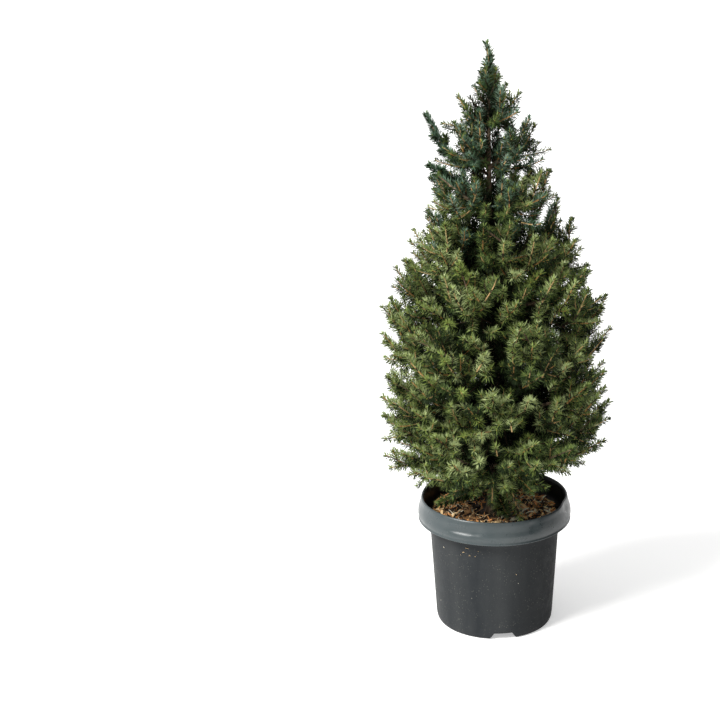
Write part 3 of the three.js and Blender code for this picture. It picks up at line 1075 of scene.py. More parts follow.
    @staticmethod
    def tint(place: Array, rng: np.random.Generator, layer: Layer = Layer.OUTER) -> Needle:
        """Deal a spray its tint: blue green high up, olive and fresh lower, dark inside as painted shade, paler on the
        left at middle height as painted sunlight, and darker low down as painted shade.

        Args:
            place: The spray's tip.
            rng: Random draws.
            layer: The layer that it is in.

        Returns:
            The tint.
        """
        top = min(max((place[2] - 0.54) / 0.16, 0.0), 1.0)
        # Painted sunlight: sprays on the left at middle height are dealt paler tints.
        level = np.interp(place[2], (0.21, 0.29, 0.35, 0.42), (0.0, 1.0, 1.0, 0.15))
        painted_sunlight = float(level * np.interp(place[0], (-0.06, 0.04), (1.0, 0.25)))
        # Painted shade: sprays inside a mass and where masses meet are dealt near-black tints.
        if layer is Layer.DEEP:
            tints, odds = (Needle.SHADE, Needle.DEEP), (0.75, 0.25)
        elif layer is Layer.INNER:
            tints, odds = (Needle.SHADE, Needle.DEEP, Needle.MOSS), (0.35, 0.40, 0.25)
        elif rng.random() < top:
            tints, odds = (Needle.TEAL, Needle.BLUE, Needle.MOSS, Needle.DEEP), (0.50, 0.12, 0.30, 0.08)
        else:
            tints = (Needle.OLIVE, Needle.MOSS, Needle.FRESH, Needle.GREY, Needle.DEEP)
            dull, bright = np.array([0.46, 0.30, 0.08, 0.07, 0.09]), np.array([0.56, 0.12, 0.12, 0.16, 0.04])
            # Painted shade: low sprays near the pot are dealt more DEEP and MOSS.
            hem = np.array([0.30, 0.38, 0.05, 0.05, 0.22])
            dull = dull + (hem - dull) * float(np.interp(place[2], (0.22, 0.30), (1.0, 0.0)))
            odds = dull + (bright - dull) * painted_sunlight
        return tints[rng.choice(len(tints), p=odds)]


# ---------------------------------------------------------------------------------------------
# Needles, twigs and buds
# ---------------------------------------------------------------------------------------------


@dataclass
class NeedleCoat:
    """How shoots are clothed in needles."""

    budget: int = 200_000
    length: float = 0.0120
    width: float = 0.00138
    spread: float = math.radians(60)
    tip_spread: float = math.radians(36)
    top_size: float = 0.86
    top_spread: float = 0.95
    parting: float = 0.60
    plume_rich: float = 3.0
    low_rich: float = 2.0
    share: dict[Layer, float] = field(
        default_factory=lambda: {Layer.OUTER: 1.0, Layer.INNER: 0.50, Layer.DEEP: 0.36}
    )
    size: dict[Layer, float] = field(
        default_factory=lambda: {Layer.OUTER: 1.0, Layer.INNER: 1.15, Layer.DEEP: 1.35}
    )

    # Painted sunlight: the paler tint that upward-facing needles on outer shoots step up to.
    painted_light_step: dict[Needle, Needle] = field(
        default_factory=lambda: {
            Needle.SHADE: Needle.DEEP,
            Needle.DEEP: Needle.MOSS,
            Needle.MOSS: Needle.OLIVE,
            Needle.OLIVE: Needle.GREY,
            Needle.FRESH: Needle.FRESH,
            Needle.GREY: Needle.GREY,
            Needle.TEAL: Needle.BLUE,
            Needle.BLUE: Needle.BLUE,
        }
    )

    def weight(self, limb: Limb) -> float:
        """How many needles a limb asks for, before the budget is shared out."""
        rich = 1.0
        if limb.group == "plumes":
            rich = self.plume_rich if limb.points[-1][2] > 0.5 else self.low_rich
        return (limb.length * (1 - limb.bare) + 0.004) * self.share[limb.layer] * rich

    def clothe(self, limb: Limb, count: int, seed: int) -> tuple[Array, Array, Array]:
        """Needles of one limb.

        Args:
            limb: The limb.
            count: How many needles it gets.
            seed: Seed of its random draws.

        Returns:
            Corners, triangles, and each triangle's tint.
        """
        rng = np.random.default_rng([SEED, 7, seed])
        tints = list(Needle)
        number = np.arange(count)
        part = (number + rng.uniform(0, 1, count)) / count
        along = limb.bare + (1.0 - limb.bare) * np.minimum(part * 1.06, 1.0)
        place = along * (len(limb.points) - 1)
        here = np.minimum(place.astype(int), len(limb.points) - 2)
        rest = (place - here)[:, None]
        tangents, across, over = side_frames(limb.points)
        start = limb.points[here] * (1 - rest) + limb.points[here + 1] * rest
        turn = number * GOLDEN_ANGLE + rng.normal(0, 0.25, count) + rng.uniform(0, 6.28)
        spoke = across[here] * np.cos(turn)[:, None] + over[here] * np.sin(turn)[:, None]
        if limb.layer is Layer.OUTER:
            facing = spoke @ unit(outward(limb.points[-1]) + UP * 0.5)
            turn += np.where((facing > self.parting) & (part < 0.8), rng.uniform(1.0, 5.2, count), 0.0)
            spoke = across[here] * np.cos(turn)[:, None] + over[here] * np.sin(turn)[:, None]
        near_tip = np.clip((part - 0.70) / 0.30, 0, 1)
        high = float(np.interp(limb.points[-1][2], (0.45, 0.70), (0.0, 1.0)))
        spread = self.spread + (self.tip_spread - self.spread) * near_tip
        spread = spread * rng.uniform(0.78, 1.18, count) * (1 + (self.top_spread - 1) * high)
        way = unit(tangents[here] * np.cos(spread)[:, None] + spoke * np.sin(spread)[:, None] + UP * 0.08)
        slim = limb.group in ("plumes", "top")
        scale = self.size[limb.layer] * (1 + (self.top_size - 1) * high) * (1.15 if slim else 1.0)
        size = self.length * scale * rng.uniform(0.8, 1.12, count) * (1 - 0.22 * near_tip)
        width = self.width * scale * rng.uniform(0.85, 1.15, count)
        dealt = np.full(count, tints.index(limb.tint))
        if limb.layer is Layer.OUTER:
            lively = rng.random(count)
            dealt[(part > 0.90) & (lively < 0.34 - 0.2 * high)] = tints.index(Needle.FRESH)
            # Painted sunlight: upward-facing needles step up to a paler tint.
            dealt[(spoke[:, 2] > -0.2) & (lively > 0.66)] = tints.index(self.painted_light_step[limb.tint])
            # Painted shade: needles at a shoot's foot and on its underside are dealt DEEP.
            dealt[(part < 0.45) & (lively < 0.45)] = tints.index(Needle.DEEP)
            dealt[(spoke[:, 2] < 0.1) & (lively < 0.55)] = tints.index(Needle.DEEP)
        return (*self.spindles(start, way, size, width, rng), np.repeat(dealt, 4))

    @staticmethod
    def spindles(
        start: Array, way: Array, size: Array, width: Array, rng: np.random.Generator
    ) -> tuple[Array, Array]:
        """Needles with three sides, widest in their middle and pointed at both ends.

        Args:
            start: Where every needle leaves its stem.
            way: Unit directions.
            size: Lengths.
            width: Widths.
            rng: Random draws.

        Returns:
            Corners and triangles.
        """
        count = len(start)
        across = unit(np.cross(way, UP + rng.normal(0, 0.35, (count, 3))))
        over = np.cross(way, across)
        middle = start + way * (size * 0.42)[:, None] - over * (width * 0.3)[:, None]
        corners = np.empty((count, 4, 3))
        corners[:, 0] = start
        corners[:, 1] = middle + across * (width * 0.5)[:, None]
        corners[:, 2] = middle - across * (width * 0.5)[:, None]
        corners[:, 3] = start + way * size[:, None] + over * (width * 0.4)[:, None]
        facets = np.array([[0, 1, 3], [0, 3, 2], [0, 2, 1], [3, 1, 2]])
        return corners.reshape(-1, 3), (np.arange(count)[:, None, None] * 4 + facets[None]).reshape(-1, 3)


@dataclass(frozen=True)
class Opening:
    """A place where the crown stands open, seen from the front.

    A sky gap goes right through; a hollow only lacks the foremost shoots, and shows the dark inside.
    """

    x: float
    height: float
    radius: float
    through: bool = False

    def drops(self, limb: Limb, eye: Array) -> bool:
        """Whether a limb would grow into the opening.

        Args:
            limb: The limb.
            eye: The place that the opening is seen from.

        Returns:
            True if the limb should be left out.
        """
        tip = limb.points[-1]
        if limb.order is Order.BOUGH or not (self.through or limb.layer is Layer.OUTER and tip[1] < 0):
            return False
        way = unit(np.array([self.x, 0.0, self.height]) - eye)
        for place in (tip, limb.points[len(limb.points) // 2]):
            away = (place - eye) - way * ((place - eye) @ way)
            if np.linalg.norm(away) < self.radius:
                return True
        return False


OPENINGS = (
    Opening(0.010, 0.693, 0.007, True),
    Opening(0.008, 0.655, 0.007, True),
    Opening(-0.062, 0.688, 0.013, True),
    Opening(-0.052, 0.715, 0.009, True),
    Opening(-0.101, 0.400, 0.006, True),
    Opening(0.088, 0.430, 0.014),
    Opening(0.035, 0.545, 0.014),
    Opening(0.068, 0.588, 0.014),
    Opening(0.003, 0.402, 0.015),
    Opening(0.004, 0.352, 0.012),
    Opening(0.060, 0.335, 0.014),
    Opening(0.022, 0.268, 0.015),
    Opening(-0.002, 0.228, 0.014),
    Opening(-0.034, 0.160, 0.016),
    Opening(0.036, 0.172, 0.014),
)


@dataclass
class Crown:
    """The whole crown: its masses, limbs, needles, twigs and buds."""

    frame: dict
    trunk: TrunkLine
    eye: Array
    rule: BranchRule = field(default_factory=BranchRule)
    coat: NeedleCoat = field(default_factory=NeedleCoat)
    limbs: list[Limb] = field(default_factory=list)
    groups: dict[str, list[str]] = field(default_factory=dict)

    def grow(self) -> None:
        """Read the masses from the frame, and grow the limbs in each."""
        nodes = self.frame["nodes"]
        names = sorted(name for name in nodes if name.startswith("foliage"))
        outline = CrownOutline.read([nodes[name] for name in names])
        for index, name in enumerate(names):
            mass = MassRoom.read(name, nodes[name])
            own = nodes.get(name.replace("foliage", "bough"))
            bough = node_corners(own) if own else None
            limbs = self.rule.grow_mass(index, mass, outline, self.trunk, bough)
            group = "top"
            if mass.kind is MassKind.TIER:
                group = f"tier_{name.split('_')[1]}"
            elif mass.kind is MassKind.PLUME:
                group = "plumes"
            self.groups.setdefault(group, []).append(name)
            self.take(limbs, group)
        self.take(self.rule.grow_trunk(outline, self.trunk), "inside")
        self.take(self.rule.grow_hem(self.trunk), "hem")
        self.groups["hem"] = []
        self.groups["inside"] = []
        for layer in Layer:
            LOG.info("%s: %d limbs", layer.value, sum(limb.layer is layer for limb in self.limbs))

    def take(self, limbs: list[Limb], group: str) -> None:
        """Add limbs to a group, but for those that would close an opening."""
        for limb in limbs:
            limb.group = group
            if group == "plumes" or not any(opening.drops(limb, self.eye) for opening in OPENINGS):
                self.limbs.append(limb)

    def build_needles(self) -> list[bpy.types.Object]:
        """Clothe every limb, and join the needles tier by tier.

        Returns:
            The pieces.
        """
        weights = np.array([self.coat.weight(limb) for limb in self.limbs])
        counts = np.maximum(np.round(weights * self.coat.budget / weights.sum()), 3).astype(int)
        materials = [tint.value.material() for tint in Needle]
        made = []
        for group, replaced in self.groups.items():
            members = [i for i, limb in enumerate(self.limbs) if limb.group == group]
            parts = math.ceil(counts[members].sum() * 4 / PIECE_LIMIT)
            for part in range(parts):
                pile = MeshPile(f"needles_{group}" + (f"_{part + 1}" if parts > 1 else ""), materials)
                for number in members[part::parts]:
                    pile.add(*self.coat.clothe(self.limbs[number], int(counts[number]), number))
                made.append(pile.piece("needles", replaced if part == 0 else []))
        return made

    def build_twigs(self) -> list[bpy.types.Object]:
        """Join the stems of all limbs but the main boughs, lower and upper apart, and the buds.

        Returns:
            The pieces.
        """
        stems = list(Stem)
        materials = [stem.value.material() for stem in Stem]
        piles = [MeshPile("twigs_lower", materials, True), MeshPile("twigs_upper", materials, True)]
        buds = MeshPile("buds", materials)
        split = 0.40
        for number, limb in enumerate(self.limbs):
            pile = piles[int(limb.points[-1][2] > split)]
            if limb.order is not Order.BOUGH:
                sides = 5 if limb.order is Order.ARM else 3
                corners, faces = tube(limb.points, limb.radii, sides)
                ring = faces.min(axis=1) // sides
                young = ring >= limb.bare * (len(limb.points) - 1)
                worn = np.random.default_rng([SEED, 5, number]).random(len(limb.points) + 9)[ring] < 0.30
                slots = np.where(young & ~worn, stems.index(limb.stem), stems.index(Stem.OLD))
                pile.add(corners, faces, slots)
            if limb.layer is Layer.OUTER:
                self.add_bud(buds, limb, stems.index(Stem.BUD))
        return [pile.piece("bark", []) for pile in (*piles, buds)]

    @staticmethod
    def add_bud(pile: MeshPile, limb: Limb, slot: int) -> None:
        """Set a small pointed bud on a limb's tip."""
        way = unit(limb.points[-1] - limb.points[-2])
        across = unit(np.cross(way, UP + np.array([0.1, 0.0, 0.0])))
        over = np.cross(way, across)
        middle = limb.points[-1] + way * 0.0008
        spokes = [across * 0.0010, over * 0.0010, -across * 0.0010, -over * 0.0010]
        corners = np.array([limb.points[-1] - way * 0.0006, *[middle + s for s in spokes], middle + way * 0.0024])
        faces = [(0, 2, 1), (0, 3, 2), (0, 4, 3), (0, 1, 4), (5, 1, 2), (5, 2, 3), (5, 3, 4), (5, 4, 1)]
        pile.add(corners, np.array(faces), slot)


@dataclass
class Woodwork:
    """The trunk and the main boughs, with the relief of their bark."""

    trunk: TrunkLine
    limbs: list[Limb]
    trunk_sides: int = 40
    ring_step: float = 0.003
    bough_sides: int = 12
    relief: float = 0.0010

    def bark_relief(self, points: Array, radii: Array, sides: int) -> Array:
        """Extra radius for every ring and side, in long scales with cracks between them.

        Args:
            points: The limb's line.
            radii: Its radii.
            sides: How many sides its rings have.

        Returns:
            One row for each ring.
        """
        turn = np.linspace(0, 2 * math.pi, sides, endpoint=False)
        out = np.empty((len(points), sides))
        for i, (point, radius) in enumerate(zip(points, radii)):
            for j, angle in enumerate(turn):
                place = Vector((math.cos(angle) * radius, math.sin(angle) * radius, point[2] * 0.5))
                rough = noise.fractal(place * 190 + Vector(point) * 9, 0.9, 2.1, 4)
                out[i, j] = rough * self.relief * min(radius / 0.006, 1.2)
        return out

    def build(self, nodes: list[str]) -> list[bpy.types.Object]:
        """Make the trunk and the boughs.

        Args:
            nodes: Names of all CAD nodes.

        Returns:
            The two pieces.
        """
        finish = BarkFinish("spruce_bark").material()
        heights = np.arange(self.trunk.heights[0], self.trunk.heights[-1], self.ring_step)
        points = np.array([self.trunk.centre(height) for height in heights])
        radii = np.array([self.trunk.radius(height) for height in heights])
        pile = MeshPile("trunk_bark", [finish], True)
        pile.add(*tube(points, radii * 0.97, self.trunk_sides, self.bark_relief(points, radii, self.trunk_sides)))
        boughs = MeshPile("bough_bark", [finish], True)
        for limb in self.limbs:
            if limb.order is Order.BOUGH:
                relief = self.bark_relief(limb.points, limb.radii, self.bough_sides)
                boughs.add(*tube(limb.points, limb.radii, self.bough_sides, relief))
        named = [name for name in nodes if name.startswith("bough")]
        return [pile.piece("bark", ["trunk"]), boughs.piece("bark", named)]


# ---------------------------------------------------------------------------------------------
# Pot and bed
# ---------------------------------------------------------------------------------------------


@dataclass
class NurseryPot:
    """A round, tapering nursery pot with a turned-down collar and notches in its foot."""

    height: float
    collar_radius: float
    columns: int = 200
    wall: float = 0.0016
    notch_count: int = 3
    notch_first: float = math.radians(-81)
    notch_half: float = 0.019
    notch_top_half: float = 0.0125
    notch_height: float = 0.0095
    collar_depth: float = 0.032

    def profile(self) -> list[tuple[float, float, int]]:
        """Radius, height and material of the pot's outline, from the underside round to the floor.

        Returns:
            The outline's corners, material 0 for the wall, 1 for the collar and 2 for the inside.
        """
        top, out = self.height, self.collar_radius
        foot = top - self.collar_depth
        wall = self.wall
        return [
            (0.0, 0.007, 0),
            (0.066, 0.007, 0),
            (0.0675, 0.0004, 0),
            (0.0685, 0.0, 0),
            (0.0775, 0.0, 0),
            (0.0797, 0.0012, 0),
            (0.0810, 0.0042, 0),
            (0.08175, 0.0100, 0),
            (0.0858, 0.0780, 0),
            (0.0898, 0.1440, 0),
            (0.0915, 0.1475, 0),
            (0.0962, 0.1515, 0),
            (0.0975, 0.1560, 0),
            (out - 0.0084, top - 0.0050, 0),
            (out - 0.0062, top - 0.0080, 1),
            (out - 0.0036, top - 0.0160, 1),
            (out - 0.0022, foot + 0.0080, 1),
            (out - 0.0034, foot + 0.0010, 1),
            (out - 0.0030, foot, 1),
            (out - 0.0014, foot, 1),
            (out - 0.0002, foot + 0.0008, 1),
            (out - 0.0002, foot + 0.0018, 1),
            (out - 0.0016, foot + 0.0030, 1),
            (out - 0.0010, foot + 0.0048, 1),
            (out, foot + 0.0085, 1),
            (out - 0.0003, foot + 0.0130, 1),
            (out - 0.0018, foot + 0.0190, 1),
            (out - 0.0040, top - 0.0060, 1),
            (out - 0.0047, top - 0.0020, 1),
            (out - 0.0056, top - 0.0002, 1),
            (out - 0.0064, top, 1),
            (out - 0.0074, top - 0.0012, 1),
            (0.0975, top - 0.0060, 2),
            (0.0975 - wall, 0.1575, 2),
            (0.0900 - wall, 0.1470, 2),
            (0.0817 - wall, 0.0100, 2),
            (0.0780, 0.0090, 2),
            (0.0, 0.0090, 2),
        ]

    def notch_floor(self, azimuth: Array) -> Array:
        """How high the drain notches lift the foot at every azimuth."""
        lifted = np.zeros_like(azimuth)
        for i in range(self.notch_count):
            middle = self.notch_first + i * 2 * math.pi / self.notch_count
            away = np.abs((azimuth - middle + math.pi) % (2 * math.pi) - math.pi) * 0.080
            rise = (self.notch_half - away) / (self.notch_half - self.notch_top_half)
            lifted = np.maximum(lifted, np.clip(rise, 0, 1) * self.notch_height)
        return lifted

    def azimuths(self) -> Array:
        """Azimuths of the pot's columns, with one at each corner of every notch."""
        even = np.linspace(-math.pi, math.pi, self.columns, endpoint=False)
        extra = []
        for i in range(self.notch_count):
            middle = self.notch_first + i * 2 * math.pi / self.notch_count
            for half in (self.notch_half, self.notch_top_half):
                extra += [middle - half / 0.080, middle + half / 0.080]
        wrapped = (np.array(extra) + math.pi) % (2 * math.pi) - math.pi
        return np.unique(np.concatenate([even, wrapped]).round(5))

    @staticmethod
    def warp(azimuth: Array, radius: Array, height: Array) -> tuple[Array, Array]:
        """Soft dents, a bulge and a kink that use has left in the collar.

        Args:
            azimuth: Azimuth of every point.
            radius: Its radius.
            height: Its height.

        Returns:
            The new radius and height.
        """

        def patch(at: float, width: float, level: float, tall: float) -> Array:
            turn = (azimuth - math.radians(at) + math.pi) % (2 * math.pi) - math.pi
            return np.exp(-((turn / math.radians(width)) ** 2) - ((height - level) / tall) ** 2)

        high = np.clip((height - 0.146) / 0.012, 0, 1)
        radius = radius + high * 0.0007 * np.sin(2 * azimuth + 0.6)
        radius = radius - 0.0034 * patch(-117, 11, 0.1680, 0.0050)
        radius = radius + 0.0022 * patch(-111, 13, 0.1605, 0.0032)
        radius = radius - 0.0014 * patch(-103, 4, 0.1690, 0.0060)
        radius = radius + 0.0012 * patch(-124, 16, 0.1765, 0.0035)
        radius = radius - 0.0012 * patch(-80, 26, 0.1700, 0.0045)
        radius = radius - 0.0016 * patch(-59, 3.2, 0.1770, 0.0075)
        radius = radius + 0.0009 * patch(-52, 5, 0.1700, 0.0080)
        radius = radius - 0.0026 * patch(-14, 8, 0.1800, 0.0080)
        height = height + high * (0.0005 * np.sin(azimuth * 3 + 1.2) - 0.0008 * patch(-59, 4, 0.184, 0.01))
        return radius, height

    def build(self) -> bpy.types.Object:
        """Turn the outline round the axis, cut the notches, and warp the collar.

        Returns:
            The pot.
        """
        corners = self.profile()
        outline, slots = [], []
        for (r0, z0, _), (r1, z1, slot) in zip(corners[:-1], corners[1:]):
            count = max(1, int(round(math.hypot(r1 - r0, z1 - z0) / 0.004)))
            for k in range(count):
                outline.append((r0 + (r1 - r0) * k / count, z0 + (z1 - z0) * k / count))
                slots.append(slot)
        outline.append(corners[-1][:2])
        shape = np.array(outline[1:-1])
        turn = self.azimuths()
        radius, azimuth = np.meshgrid(shape[:, 0], turn, indexing="ij")
        height = np.repeat(shape[:, 1][:, None], len(turn), axis=1)
        radius, height = self.warp(azimuth, radius, height)
        below = np.maximum(height, self.notch_floor(azimuth))
        height = np.where((radius > 0.0655) & (height < self.notch_height), below, height)
        rings = np.stack([radius * np.cos(azimuth), radius * np.sin(azimuth), height], -1)
        pile = MeshPile("nursery_pot", self.finishes(), True)
        rows, columns = rings.shape[:2]
        vertices = np.vstack([rings.reshape(-1, 3), [[0, 0, 0.007]], [[0, 0, 0.009]]])
        here = np.arange(rows - 1)[:, None] * columns + np.arange(columns)[None]
        after = np.arange(rows - 1)[:, None] * columns + (np.arange(columns)[None] + 1) % columns
        quads = np.stack([here, after, after + columns, here + columns], -1).reshape(-1, 4)
        pile.add(vertices, quads, np.repeat(slots[1:-1], columns))
        side, next_side = np.arange(columns), (np.arange(columns) + 1) % columns
        hub, last = rows * columns, (rows - 1) * columns
        under = np.stack([np.full(columns, hub), next_side, side], -1)
        over = np.stack([np.full(columns, hub + 1), last + side, last + next_side], -1)
        pile.faces.append(under.astype(np.int32))
        pile.faces.append(over.astype(np.int32))
        pile.slots.append(np.repeat([0, 2], columns).astype(np.int32))
        return pile.piece("pot_plastic", ["pot"])

    @staticmethod
    def finishes() -> list[bpy.types.Material]:
        """Wall, collar and inside, the inside darkened as painted shade."""
        return [
            PotFinish("pot_wall", (0.0175, 0.0200, 0.0225), (0.0380, 0.0405, 0.0415), 0.55, 0.85, 0.00018, 0.07).material(),
            # The collar is paler and bluer than the wall: partly sun-bleached plastic, partly painted skylight on the
            # rim that faces up.
            PotFinish("pot_collar", (0.036, 0.049, 0.053), (0.052, 0.063, 0.065), 0.30, 0.2, 0.00008, 0.38).material(),
            # The inside is the wall's plastic made near-black: painted shade within the rim.
            PotFinish("pot_inside", (0.007, 0.008, 0.009), (0.014, 0.014, 0.014), 0.35, 0.2, 0.00008).material(),
        ]


STRAY_BITS = (
    (-141, 0.128, 0.0026),
    (-121, 0.126, 0.0018),
    (-114, 0.138, 0.0046),
    (-118, 0.131, 0.0030),
    (-112, 0.128, 0.0026),
    (-107, 0.127, 0.0034),
    (-104, 0.136, 0.0020),
    (-70, 0.100, 0.0018),
)


@dataclass
class MulchBed:
    """The bed of peat in the pot, with bark chips over it."""

    low: Vector
    high: Vector
    trunk_radius: float
    surface: float = 0.158
    rows: int = 44
    columns: int = 132
    chips: int = 1700

    def lift(self, x: float, y: float) -> float:
        """How much the surface rises or falls at a place."""
        place = Vector((x, y, 0.0))
        broad = noise.noise(place * 26) * 0.0026
        crumbs = noise.fractal(place * 150, 0.8, 2.2, 3) * 0.0013
        calm = min(max((math.hypot(x, y) - self.trunk_radius) / 0.01, 0.25), 1.0)
        return (broad + crumbs) * calm

    def build(self) -> list[bpy.types.Object]:
        """Make the peat and the chips.

        Returns:
            The two pieces.
        """
        widest = self.high.x - 0.0006
        radii = np.linspace(0.004, widest, self.rows)
        turn = np.linspace(0, 2 * math.pi, self.columns, endpoint=False)
        rings = np.empty((self.rows + 3, self.columns, 3))
        for i, radius in enumerate(radii):
            for j, angle in enumerate(turn):
                x, y = radius * math.cos(angle), radius * math.sin(angle)
                sink = -0.0055 * min(max((radius - widest + 0.007) / 0.007, 0), 1)
                rings[i, j] = (x, y, self.surface + sink + self.lift(x, y))
        skirt = ((widest, 0.150), (0.0868, 0.146), (0.0785, self.low.z + 0.0006))
        for i, (radius, height) in enumerate(skirt):
            rings[self.rows + i] = np.stack(
                [radius * np.cos(turn), radius * np.sin(turn), np.full(self.columns, height)], -1
            )
        pile = MeshPile("mulch_peat", [PeatFinish("peat").material()], True)
        count = self.columns
        middle = [[0, 0, self.surface], [0, 0, self.low.z + 0.0006]]
        vertices = np.vstack([rings.reshape(-1, 3), middle])
        ring = np.arange(self.rows + 2)[:, None] * count
        here, after = ring + np.arange(count)[None], ring + (np.arange(count)[None] + 1) % count
        quads = np.stack([here, here + count, after + count, after], -1).reshape(-1, 4)
        pile.add(vertices, quads)
        side, next_side = np.arange(count), (np.arange(count) + 1) % count
        hub, last = (self.rows + 3) * count, (self.rows + 2) * count
        pile.faces.append(np.stack([np.full(count, hub), side, next_side], -1).astype(np.int32))
        pile.faces.append(np.stack([np.full(count, hub + 1), last + next_side, last + side], -1).astype(np.int32))
        pile.slots.append(np.zeros(2 * count, np.int32))
        return [pile.piece("bark_mulch", ["mulch_bed"]), self.build_chips(widest)]

    def build_chips(self, widest: float) -> bpy.types.Object:
        """Scatter chips of torn bark, flat, tilted or standing on edge.

        Args:
            widest: The bed's radius.

        Returns:
            The chips as one piece.
        """
        rng = np.random.default_rng([SEED, 91])
        pile = MeshPile("mulch_chips", [chip.value.material() for chip in Chip])
        for _ in range(self.chips):
            out = self.trunk_radius + 0.002 + (widest - self.trunk_radius - 0.008) * math.sqrt(rng.random())
            angle = rng.uniform(0, 2 * math.pi)
            x, y = out * math.cos(angle), out * math.sin(angle)
            long = 0.0045 + 0.012 * rng.random() ** 2.0
            wide = long * rng.uniform(0.14, 0.42)
            base = Vector((x, y, self.surface + self.lift(x, y) + rng.uniform(0.0004, 0.0028)))
            # About a third of the chips are near-black: partly dark bark, partly painted shade.
            slot = int(rng.choice(len(Chip), p=(0.32, 0.20, 0.21, 0.18, 0.09)))
            pile.add(*self.chip(base, long, wide, rng), slot)
        for azimuth, height, long in STRAY_BITS:
            turn = math.radians(azimuth)
            out = 0.0820 + 0.0078 * height / 0.144
            base = Vector((math.cos(turn) * out, math.sin(turn) * out, height))
            pile.add(*self.chip(base, long, long * 0.4, rng), 3 if azimuth > -130 else 4)
        return pile.piece("bark_mulch", [])

    @staticmethod
    def chip(base: Vector, long: float, wide: float, rng: np.random.Generator) -> tuple[Array, Array]:
        """One torn, slightly bent chip.

        Args:
            base: Its middle.
            long: Its length.
            wide: Its width.
            rng: Random draws.

        Returns:
            Corners and faces.
        """
        stations = np.array([-0.5, -0.16, 0.2, 0.5])
        half = wide * 0.5 * np.array([0.25, 1.0, 0.8, 0.15]) * rng.uniform(0.7, 1.2, 4)
        thick = wide * rng.uniform(0.12, 0.3)
        bend = rng.normal(0, 0.12) * long
        rows = []
        for station, side in zip(stations, half):
            arch = bend * (1 - 4 * station * station)
            x = station * long
            rows += [(x, -side, arch), (x, side, arch), (x, side * 0.8, arch + thick), (x, -side * 0.8, arch + thick)]
        local = np.array(rows)
        turn, tilt, roll = rng.uniform(0, 2 * math.pi), rng.normal(0, 0.35), rng.normal(0, 0.5)
        spin = np.array([[math.cos(turn), -math.sin(turn), 0], [math.sin(turn), math.cos(turn), 0], [0, 0, 1]])
        pitch = np.array([[math.cos(tilt), 0, math.sin(tilt)], [0, 1, 0], [-math.sin(tilt), 0, math.cos(tilt)]])
        lean = np.array([[1, 0, 0], [0, math.cos(roll), -math.sin(roll)], [0, math.sin(roll), math.cos(roll)]])
        placed = local @ (spin @ pitch @ lean).T + np.array(base)
        faces = [(3, 2, 1, 0), (12, 13, 14, 15)]
        for row in range(3):
            for k in range(4):
                a, b = row * 4 + k, row * 4 + (k + 1) % 4
                faces.append((a, b, b + 4, a + 4))
        return placed, np.array(faces)


# ---------------------------------------------------------------------------------------------
# Floor, light and camera
# ---------------------------------------------------------------------------------------------


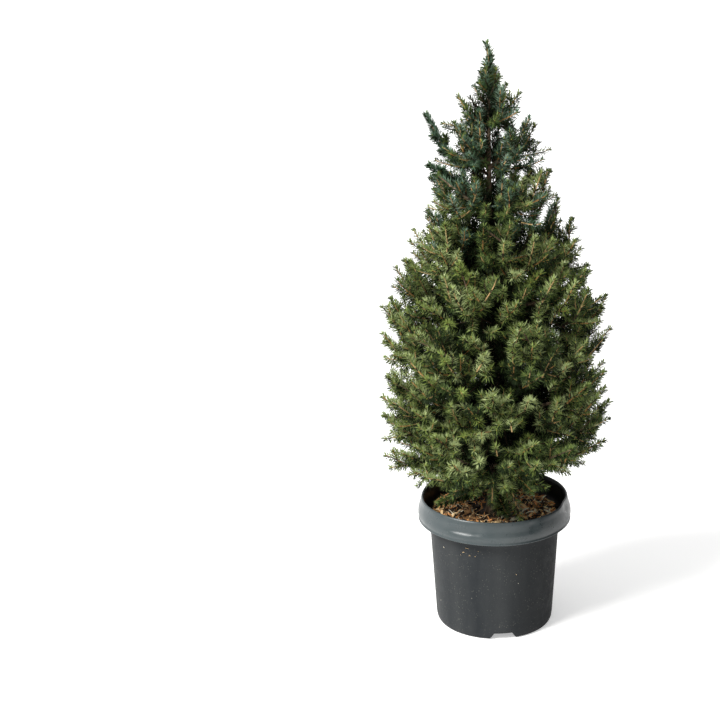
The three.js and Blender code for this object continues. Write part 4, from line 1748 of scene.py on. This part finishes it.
@dataclass
class Studio:
    """A plain pale floor, soft light from the upper left, and the camera."""

    camera_distance: float = 2.2
    camera_height: float = 1.115
    lens: float = 85.25
    dip: float = math.radians(18.46)
    turn: float = math.radians(4.50)
    floor_size: float = 30.0
    floor_glow: float = 0.40

    def build(self) -> None:
        """Set the stage."""
        self.floor()
        self.key()
        self.world()
        self.camera()
        bpy.context.scene.view_settings.view_transform = "Standard"

    def floor(self) -> None:
        """A wide, matt, nearly white floor."""
        mesh = bpy.data.meshes.new("floor")
        half = self.floor_size / 2
        mesh.from_pydata([(-half, -half, 0), (half, -half, 0), (half, half, 0), (-half, half, 0)], [], [(0, 1, 2, 3)])
        floor = bpy.data.objects.new("floor", mesh)
        bpy.context.scene.collection.objects.link(floor)
        pale = PlainFinish("pale_floor", (0.93, 0.93, 0.93), 0.9, 0.1).material()
        shader = next(node for node in pale.node_tree.nodes if node.type == "BSDF_PRINCIPLED")
        shader.inputs["Emission Color"].default_value = (1.0, 1.0, 1.0, 1.0)
        shader.inputs["Emission Strength"].default_value = self.floor_glow
        mesh.materials.append(pale)

    @staticmethod
    def key() -> None:
        """A broad, far light from the upper front left."""
        light = bpy.data.lights.new("key", "SUN")
        light.energy, light.angle, light.color = 4.6, math.radians(24), (1.0, 0.99, 0.965)
        lamp = bpy.data.objects.new("key", light)
        lamp.rotation_euler = Vector((2.1, 1.55, -2.6)).to_track_quat("-Z", "Y").to_euler()
        bpy.context.scene.collection.objects.link(lamp)

    @staticmethod
    def world() -> None:
        """Soft white light from all round, stronger from the upper left, with a pale back wall."""
        world = bpy.data.worlds.new("studio")
        world.use_nodes = True
        tree = world.node_tree
        shade = tree.nodes["Background"]
        shade.inputs["Color"].default_value = (1.0, 1.0, 1.0, 1.0)
        place = tree.nodes.new("ShaderNodeTexCoord")
        spans = []
        for towards, old, new in (
            ((-0.75, -0.25, 0.60), (-0.3, 0.9), (0.04, 1.02)),
            ((0.0, 1.0, 0.0), (0.60, 0.92), (0.0, 1.05)),
        ):
            facing = tree.nodes.new("ShaderNodeVectorMath")
            facing.operation = "DOT_PRODUCT"
            facing.inputs[1].default_value = unit(np.array(towards))
            tree.links.new(place.outputs["Generated"], facing.inputs[0])
            span = tree.nodes.new("ShaderNodeMapRange")
            for key, value in zip(("From Min", "From Max", "To Min", "To Max"), (*old, *new)):
                span.inputs[key].default_value = value
            tree.links.new(facing.outputs["Value"], span.inputs["Value"])
            spans.append(span.outputs["Result"])
        brighter = tree.nodes.new("ShaderNodeMath")
        brighter.operation = "MAXIMUM"
        tree.links.new(spans[0], brighter.inputs[0])
        tree.links.new(spans[1], brighter.inputs[1])
        tree.links.new(brighter.outputs[0], shade.inputs["Strength"])
        bpy.context.scene.world = world

    def camera(self) -> None:
        """A long lens a little above the plant's tip, turned so that the plant stands right of centre."""
        lens = bpy.data.cameras.new("camera")
        lens.lens = self.lens
        lens.sensor_width = 36.0
        camera = bpy.data.objects.new("camera", lens)
        camera.location = (0.0, -self.camera_distance, self.camera_height)
        aim = Matrix.Rotation(math.pi / 2 - self.dip, 3, "X") @ Matrix.Rotation(self.turn, 3, "Y")
        camera.rotation_euler = aim.to_euler()
        bpy.context.scene.collection.objects.link(camera)
        bpy.context.scene.camera = camera


def main() -> None:
    """Build the plant round the frame, and report each piece."""
    logging.basicConfig(level=logging.INFO, format="%(name)s: %(message)s")
    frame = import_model()
    nodes = frame["nodes"]

    trunk = TrunkLine.read(nodes["trunk"])
    studio = Studio()
    crown = Crown(frame, trunk, np.array([0.0, -studio.camera_distance, studio.camera_height]))
    crown.grow()
    crown.build_needles()
    crown.build_twigs()
    Woodwork(trunk, crown.limbs).build(sorted(nodes))

    pot_low, pot_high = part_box("pot")
    NurseryPot(pot_high.z, pot_high.y).build()
    bed_low, bed_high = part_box("mulch_bed")
    MulchBed(bed_low, bed_high, trunk.radius(trunk.heights[0])).build()
    studio.build()

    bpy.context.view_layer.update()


if __name__ == "__main__":
    main()
